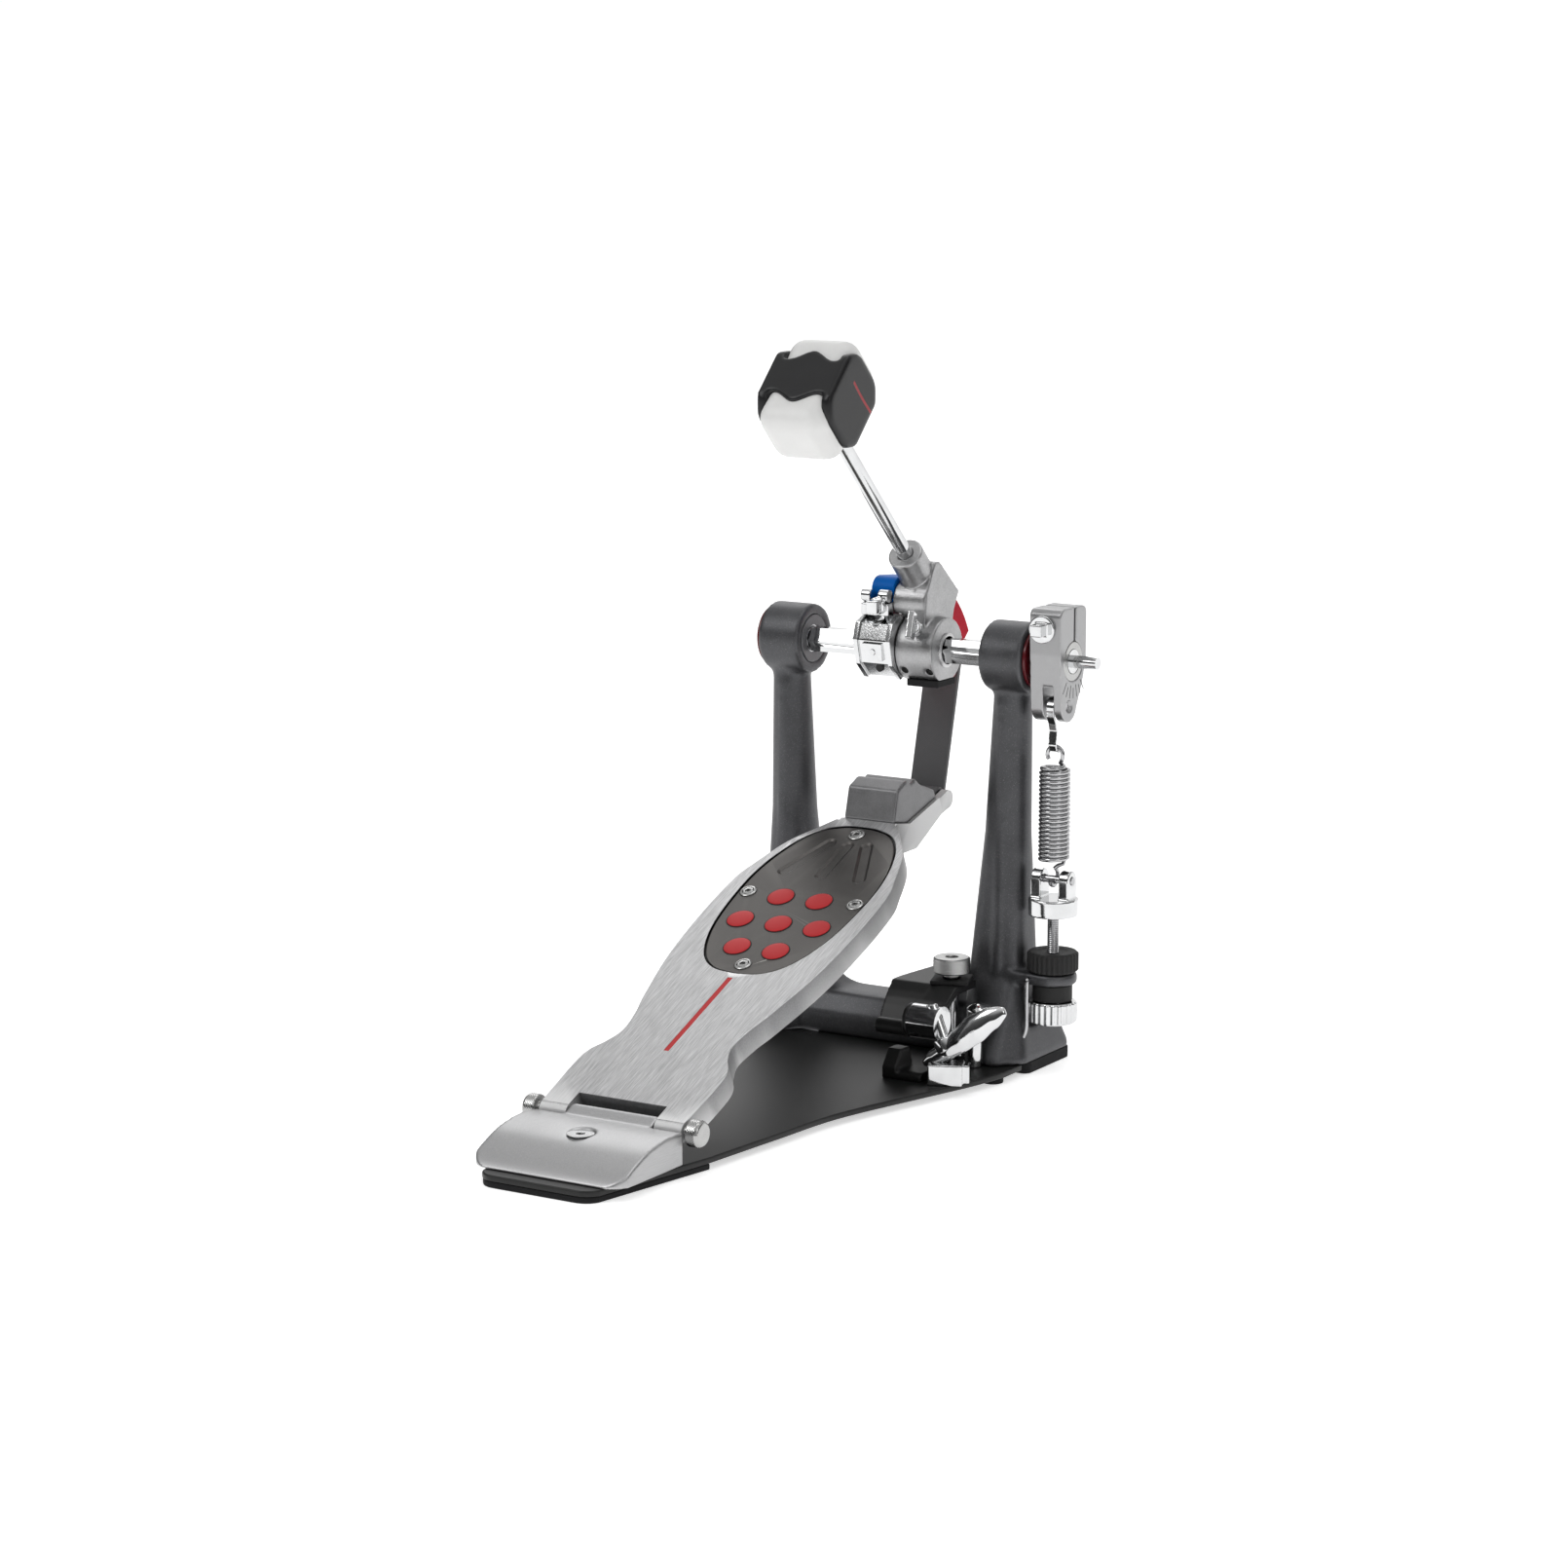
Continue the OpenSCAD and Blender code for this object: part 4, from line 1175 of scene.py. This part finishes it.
@dataclass
class HoopClamp:
    """The clamp that grips the drum's hoop."""

    bench: Bench
    stud: Flat = (48.6, -31.8)
    wing_foot: Point = (71.5, -75.5, 21.5)
    # the blade: place along the handle, height of its middle, half height, half thickness
    stations: tuple = ((-15, -0.6, 3.4, 3.2), (-8, 0.4, 4.8, 4.2), (0, 1.0, 5.0, 5.0), (8, 3.4, 6.4, 4.4),
                       (18, 6.0, 7.4, 3.6), (29, 8.0, 6.4, 3.2), (36, 9.0, 4.8, 2.6))
    # how far its tips sweep back, at what distance, and how square its section is
    swept: float = 4.0
    span: float = 34.0
    square: float = -0.55

    def build(self) -> None:
        """Makes every piece."""
        self.bench.cast_node("clamp_rocker", FINISH.plate, 0.7, 5)
        self.bench.rounded("clamp_washer", FINISH.black, 0.3)
        self.bench.rounded("clamp_stud", FINISH.steel, 0.3)
        self.bench.cast_node("clamp_seat", FINISH.plate, 0.6, 4)
        self.bench.cast_node("clamp_anvil", FINISH.chrome, 0.45, 4)
        self.bench.rounded("barrel_nut", FINISH.chrome, 0.6)
        self.bench.rounded("upper_jaw_pad", FINISH.rubber, 0.5)
        self.knob()
        self.wing()

    def knob(self) -> None:
        """The knurled knob."""
        shape = Shape()
        x, y = self.stud
        profile = [(3.45, 49.1), (5, 49.1), (5, 50.3), (8.4, 50.4), (9.0, 50.9)]
        profile += [(9.4, 51.3 + i * 0.28) for i in range(24)]
        profile += [(9.0, 58.1), (8.4, 58.6), (3.6, 58.6), (3.2, 58.2), (3.2, 57.3), (0, 57.3)]
        ring = shape.lathe(profile, (x, y, 0), steps=200)
        knurl(shape, ring, (x, y, 0), (0, 0, 1), 9.2, 0.4, 40, 0.9)
        self.bench.piece(shape, "knurled_knob", FINISH.nickel, ("clamp_knob",), sharp=70)

    def wing(self) -> None:
        """The wing bolt with its long twisted handle."""
        lean = Matrix.Rotation(math.radians(-26.05), 4, "Y") @ Matrix.Rotation(math.radians(-6.66), 4, "X")
        place = Matrix.Translation(self.wing_foot) @ lean
        shape = Shape()
        for profile in ([(0, -1.2), (2.6, -1.2), (2.9, -0.9), (2.9, 24), (2.5, 24.6), (0, 24.6)],
                        [(0, 0.2), (4.6, 0.2), (5.5, 1.2), (5.5, 6.4), (4.4, 7.6), (0, 7.6)]):
            shape.move(place, shape.lathe(profile, (0, 0, 0), steps=40))
        shape.move(place, self.blade(shape))
        self.bench.piece(shape, "wing_handle", FINISH.chrome, ("wing_bolt",), sharp=60)

    def blade(self, shape: Shape) -> list:
        """The handle's smooth two-ended blade; returns its vertices."""
        turn = Matrix.Rotation(math.pi / 2, 4, "Y")
        ball = bmesh.ops.create_uvsphere(shape.bm, u_segments=32, v_segments=48, radius=1, matrix=turn)
        blade, stations = ball["verts"], self.stations

        def form(point: Vector) -> Vector:
            """Puts one vertex of a ball on the blade."""
            reach = stations[0][0] + (stations[-1][0] - stations[0][0]) * (point.x + 1) / 2
            for low, high in pairwise(stations):
                if reach <= high[0] + 0.001:
                    break
            share = (reach - low[0]) / (high[0] - low[0])
            share = share * share * (3 - 2 * share)
            middle, tall, thick = (p + (q - p) * share for p, q in zip(low[1:], high[1:]))
            round_off = math.hypot(point.y, point.z) or 1.0
            full = round_off ** self.square
            sweep = self.swept * reach * abs(reach) / self.span / self.span
            return Vector((reach, point.y * full * thick + sweep, middle + point.z * full * tall))

        shape.push(form, blade)
        return shape.keep(blade)


@dataclass
class Drive:
    """The shaft, the cams and the strap."""

    bench: Bench

    def build(self) -> None:
        """Makes every piece."""
        self.bench.rounded("drive_shaft", FINISH.chrome, 0.5)
        self.bench.rounded("shaft_end_nut", FINISH.nickel, 0.5)
        self.bench.cast_node("cam_frame", FINISH.tumbled, 0.55, 4)
        self.bench.rounded("blue_cam", FINISH.blue, 0.5)
        self.bench.rounded("red_cam", FINISH.red, 0.4)
        self.strap()

    def strap(self) -> None:
        """One band from the cam to the toe pin."""
        shape = Shape.of_nodes(self.bench.frame, "strap_wrap", "strap", flat=0)
        bmesh.ops.dissolve_limit(shape.bm, angle_limit=math.radians(0.3), verts=shape.bm.verts,
                                 edges=shape.bm.edges)
        shape.bevel(0.35, 2, 60)
        band = self.bench.piece(shape, "drive_strap", FINISH.strap, ("strap_wrap", "strap"), ride=False)
        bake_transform(band)


@dataclass
class StrokeClamp:
    """The parts that grip the shaft and hold the beater."""

    bench: Bench

    def build(self) -> None:
        """Makes every piece."""
        self.bench.rounded("stroke_clamp", FINISH.chrome, 0.5)
        self.bench.cast_node("stroke_yoke", FINISH.chrome, 0.4, 3)
        self.bench.cast_node("stroke_bolt", FINISH.chrome, 0.35, 3)
        self.bench.cast_node("beater_holder", FINISH.tumbled, 0.6, 5)
        self.bench.cast_node("holder_screw", FINISH.chrome, 0.35, 3)
        self.bench.rounded("set_screws", FINISH.black, 0.2)
        self.bench.rounded("rubber_bumper", FINISH.rubber, 0.5)
        self.flanges()
        self.bush()

    def flanges(self) -> None:
        """The raised ends of the clamp, its framed plate, and a black block that paints the shade in the
        split between its halves.
        """
        outline = [(-10.4, 225.4), (-18, 221.8), (-21.2, 213), (-18, 200.4), (-9.4, 192.2), (-5, 195),
                   (-14, 204), (-16.4, 213), (-13, 219)]
        shape = Shape()
        for x in (-16.3, 2.6):
            shape.slab(outline, along_x(x), 2.8)
        lean = Matrix.Translation((-5.4, -18.9, 207.2)) @ Matrix.Rotation(math.radians(14), 4, "X")
        frame = shape.block((-5.6, -1.0, -4.6), (5.6, 1.0, 4.6))
        shape.move(lean, frame)
        screw = shape.rod(1.7, (0, -1.6, 0), (0, 0, 0), 24)
        shape.move(lean, screw)
        shape.bevel(0.35, 2, 25)
        self.bench.piece(shape, "clamp_flanges", FINISH.chrome, body="drive")
        # painted shade: a thin black block fills the split between the halves
        split = Shape()
        split.block((-13.4, -20.25, 212.7), (2.6, -19, 213.4))
        self.bench.piece(split, "clamp_split_shade", FINISH.black, body="drive")

    def bush(self) -> None:
        """The ring that closes the holder round the shaft."""
        shape = Shape()
        shape.lathe([(6.0, 0), (8.8, 0), (8.8, 0.9), (8.2, 1.4), (7.2, 1.4), (6.9, 0.8), (6.9, 0), (6.0, 0)],
                    (26.2, 0, AXLE_Z), (1, 0, 0))
        self.bench.piece(shape, "holder_bush", FINISH.tumbled, body="drive")


@dataclass
class Beater:
    """The rod and the two-faced head."""

    bench: Bench
    foot: Point = (10.0, -12.6, 256.1)
    lean: float = math.radians(45.6)
    reach: float = 121.5

    def matrix(self) -> Matrix:
        """Places a thing at the head's middle, with Z up the rod."""
        return (Matrix.Translation(self.foot) @ Matrix.Rotation(self.lean, 4, "X")
                @ Matrix.Translation((0, 0, self.reach)))

    def build(self) -> None:
        """Makes every piece."""
        self.bench.rounded("beater_stem", FINISH.chrome, 0.5)
        self.core()
        self.shell()

    def core(self) -> None:
        """The white block whose ends strike."""
        shape = Shape()
        shape.block((-18.8, -27.8, -16.6), (18.8, 27.8, 16.6))
        shape.bevel(9, 8, 60)
        shape.move(self.matrix())
        self.bench.piece(shape, "white_faces", FINISH.white, ("beater_faces",))

    def shell(self) -> None:
        """The black shell with its wavy lip over both ends."""
        shape = Shape()
        cheek = [(-21, -8), (-19.5, -12), (-14, -17.6), (14, -17.6), (19.5, -12), (21, -8), (21, 8),
                 (19.5, 12), (14, 17.6), (-14, 17.6), (-19.5, 12), (-21, 8)]
        for x in (-20.7, 15.1):
            shape.slab(cheek, along_x(x), 5.6)
        count = 24
        edge = [-20.5 + 41 * i / count for i in range(count + 1)]
        lip = [9.4 + 6.4 * math.exp(-(x / 8) ** 2) + 3.4 * math.exp(-((abs(x) - 20) / 4) ** 2) for x in edge]
        outline = [(x, n) for x, n in zip(edge, lip)] + [(x, -n) for x, n in reversed(list(zip(edge, lip)))]
        shape.slab(outline, Matrix.Translation((0, 0, 14.1)), 4.2)
        shape.slab(outline, Matrix.Translation((0, 0, -18.3)), 4.2)
        shape.move(self.matrix())
        self.bench.cast(shape, "black_shell", FINISH.shell, ("beater_body",), 0.7, 40)


@dataclass
class Footboard:
    """The board with its plate, dots, screws and toe stop."""

    bench: Bench
    board: Board = field(default_factory=Board)
    top: float = 5.0
    dots: Flat = (0.0, 157.8)
    screws: tuple = ((0, 239), (0, 122.5), (-30.8, 181), (30.8, 181))
    grooves: tuple = (((0, 202), (0, 229)), ((-21.7, 202), (-10.6, 230)), ((21.7, 202), (10.6, 230)))
    # the part of the top face whose edge is left alone: half width and half length about a middle
    window: Point = (38.0, 180.0, 68.0)
    tongue: float = 17.0
    heel: float = 6.0

    def build(self) -> None:
        """Makes every piece."""
        shape = Shape.of_nodes(self.bench.frame, "footboard")
        shape.bevel(0.8, 3, 35, self.on_rim)
        self.bench.piece(shape, "board", FINISH.board, ("footboard",))
        self.bench.cast_node("toe_stop", FINISH.worked, 0.7, 4)
        self.plate()
        self.red_dots()
        self.socket_screws()
        self.bench.rounded("centre_line", FINISH.enamel, 0.15)

    def on_rim(self, middle: Vector) -> bool:
        """Whether an edge lies on the outer rim of the board's top face."""
        x, u, w = self.board.matrix().inverted() @ middle
        half, middle_u, long = self.window
        outside = math.hypot(x / half, (u - middle_u) / long) > 1
        return w > self.top - 0.1 and u > self.heel and abs(x) > self.tongue and outside

    def stadium(self, foot: Flat, head: Flat, width: float) -> list[Flat]:
        """The outline of a long groove.

        Args:
            foot: centre of its lower end.
            head: centre of its upper end.
            width: its half width.

        Returns:
            The points of the outline.
        """
        a, b = Vector(foot), Vector(head)
        aim = math.atan2((b - a).y, (b - a).x)
        outline = []
        for middle, turn in ((b, -90), (a, 90)):
            for angle in (aim + math.radians(turn + 15 * i) for i in range(13)):
                outline.append((middle.x + width * math.cos(angle), middle.y + width * math.sin(angle)))
        return outline

    def plate(self) -> None:
        """The traction plate with its three long grooves."""
        shape = Shape.of_nodes(self.bench.frame, "traction_plate").bevel(0.25, 2, 30)
        plate = self.bench.piece(shape, "grooved_plate", FINISH.gunmetal, ("traction_plate",))
        cutters = Shape()
        for foot, head in self.grooves:
            low, high = (self.stadium(foot, head, width) for width in (2.2, 4.3))
            verts = cutters.slab(low, Matrix.Translation((0, 0, self.top - 1.2)), 1.2)
            for vert, place in zip(verts[len(low):], high):
                vert.co.x, vert.co.y = place
        cutters.move(self.board.matrix())
        self.bench.carve(plate, cutters, (0, -math.sin(self.board.tilt), math.cos(self.board.tilt)))

    def red_dots(self) -> None:
        """The seven slightly domed dots, each with a black ring that paints the shade in its gap."""
        shape = Shape()
        x, u = self.dots
        places = [(x, u)] + [(x + side * across, u + along) for side in (-1, 1)
                             for across, along in ((21.9, 0), (11, 22), (11, -22))]
        for place in places:
            profile = [(0, 0.1), (6.7, 0.1), (6.75, 0.95), (6.4, 1.15), (4, 1.32), (0, 1.38)]
            shape.lathe(profile, (place[0], place[1], self.top - 1), steps=48)
        shape.move(self.board.matrix())
        self.bench.piece(shape, "red_dots", FINISH.enamel, ("traction_dots",))
        # painted shade: a thin black ring round each dot stands for the shaded gap
        rings = Shape()
        for place in places:
            rings.lathe([(6.75, 0.4), (7.25, 0.4), (7.25, 0.72), (6.75, 0.72), (6.75, 0.4)],
                        (place[0], place[1], self.top - 1), steps=48)
        rings.move(self.board.matrix())
        self.bench.piece(rings, "dot_gap_shade", FINISH.black, body="pedal_board")

    def socket_screws(self) -> None:
        """The four plate screws with their hexagon sockets."""
        shape = Shape()
        for x, u in self.screws:
            foot = (x, u, self.top - 1.6)
            shape.lathe([(4.35, 0), (4.35, 1.5), (3.9, 1.85), (3.2, 1.9), (3.0, 1.7)], foot, steps=48)
            shape.lathe([(3.0, 1.7), (2.7, 1.85), (1.7, 1.85), (1.5, 1.6), (1.5, 0.5), (0, 0.5)], foot,
                        steps=6)
        shape.move(self.board.matrix())
        self.bench.piece(shape, "plate_screws", FINISH.nickel, ("traction_screws",))


@dataclass
class Studio:
    """Floor, lights and camera."""

    aim: Point = (0.0, 0.0, 0.208)
    turn: float = math.radians(31.7)
    rise: float = math.radians(10.45)
    far: float = 2.080
    lens: float = 94.14
    sensor: float = 36.0
    shift: Flat = (0.0595, 0.0700)

    def build(self) -> None:
        """Makes the stage."""
        self.floor()
        self.sky()
        self.lamp("key", (-1.6, -2.4, 2.6), 1.6, 27)
        self.lamp("fill", (2.6, -1.6, 1.6), 1.2, 9)
        self.lamp("rim", (-1.8, 2.2, 2.2), 1.4, 12)
        self.lamp("top", (0.2, 0.2, 3.0), 1.2, 9)
        self.camera()

    def floor(self) -> None:
        """A pale floor that sweeps up into a backdrop."""
        bm = bmesh.new()
        path = ((-7, 0), (6, 0), (8.2, 0.35), (9.4, 1.4), (9.9, 3), (10, 6))
        low = [bm.verts.new((-9, y, z)) for y, z in path]
        edges = [bm.edges.new(pair) for pair in pairwise(low)]
        made = bmesh.ops.extrude_edge_only(bm, edges=edges)["geom"]
        bmesh.ops.translate(bm, vec=(18, 0, 0), verts=corners(made))
        bmesh.ops.recalc_face_normals(bm, faces=bm.faces)
        if sum(face.normal.z for face in bm.faces) < 0:
            bmesh.ops.reverse_faces(bm, faces=bm.faces)
        mesh = bpy.data.meshes.new("floor")
        bm.to_mesh(mesh)
        bm.free()
        for face in mesh.polygons:
            face.use_smooth = True
        material = bpy.data.materials.new("pale_floor")
        tree = Tree(material)
        tree.close(Base_Color=(0.93, 0.93, 0.93), Roughness=0.9, Emission_Color=(1.0, 1.0, 1.0),
                   Emission_Strength=0.55)
        mesh.materials.append(material)
        thing = put("floor", mesh)

    def sky(self) -> None:
        """Light from above with a darker belt near the horizon."""
        world = bpy.data.worlds.new("studio")
        world.use_nodes = True
        nodes, links = world.node_tree.nodes, world.node_tree.links
        back = nodes["Background"]
        where = nodes.new("ShaderNodeTexCoord")
        parts = nodes.new("ShaderNodeSeparateXYZ")
        ramp = nodes.new("ShaderNodeValToRGB")
        links.new(where.outputs["Generated"], parts.inputs[0])
        links.new(parts.outputs[2], ramp.inputs[0])
        ramp.color_ramp.elements.new(0.35)
        stops = ((0.0, 0.03), (0.35, 0.12), (0.75, 0.75))
        for element, (place, value) in zip(ramp.color_ramp.elements, stops):
            element.position = place
            element.color = (value, value, value, 1)
        links.new(ramp.outputs[0], back.inputs[0])
        back.inputs[1].default_value = 0.9
        bpy.context.scene.world = world

    def lamp(self, name: str, place: Point, size: float, power: float) -> None:
        """A soft square light aimed at the pedal.

        Args:
            name: the light's name.
            place: where it hangs, in metres.
            size: its side, in metres.
            power: its power in watts.
        """
        light = bpy.data.lights.new(name, "AREA")
        light.size = size
        light.energy = power
        thing = put(name, light)
        thing.location = place
        thing.rotation_euler = (Vector(place) - Vector(self.aim)).to_track_quat("Z", "Y").to_euler()

    def camera(self) -> None:
        """A long lens at the pedal's right front."""
        a, e = self.turn, self.rise
        back = Vector((math.sin(a) * math.cos(e), -math.cos(a) * math.cos(e), math.sin(e)))
        right = Vector((math.cos(a), math.sin(a), 0))
        up = back.cross(right)
        data = bpy.data.cameras.new("camera")
        data.lens = self.lens
        data.sensor_width = self.sensor
        thing = put("camera", data)
        thing.location = Vector(self.aim) + back * self.far - right * self.shift[0] - up * self.shift[1]
        thing.rotation_euler = (-back).to_track_quat("-Z", "Y").to_euler()
        bpy.context.scene.camera = thing


def main() -> None:
    """Builds the pedal around its frame."""
    logging.basicConfig(level=logging.INFO, format="%(message)s")
    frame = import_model()
    bpy.context.scene.view_settings.view_transform = "Standard"
    bench = Bench(frame)
    for part in (Base, Heel, CastFrame, SpringSide, HoopClamp, Drive, StrokeClamp, Beater, Footboard):
        part(bench).build()
    Studio().build()


if __name__ == "__main__":
    main()
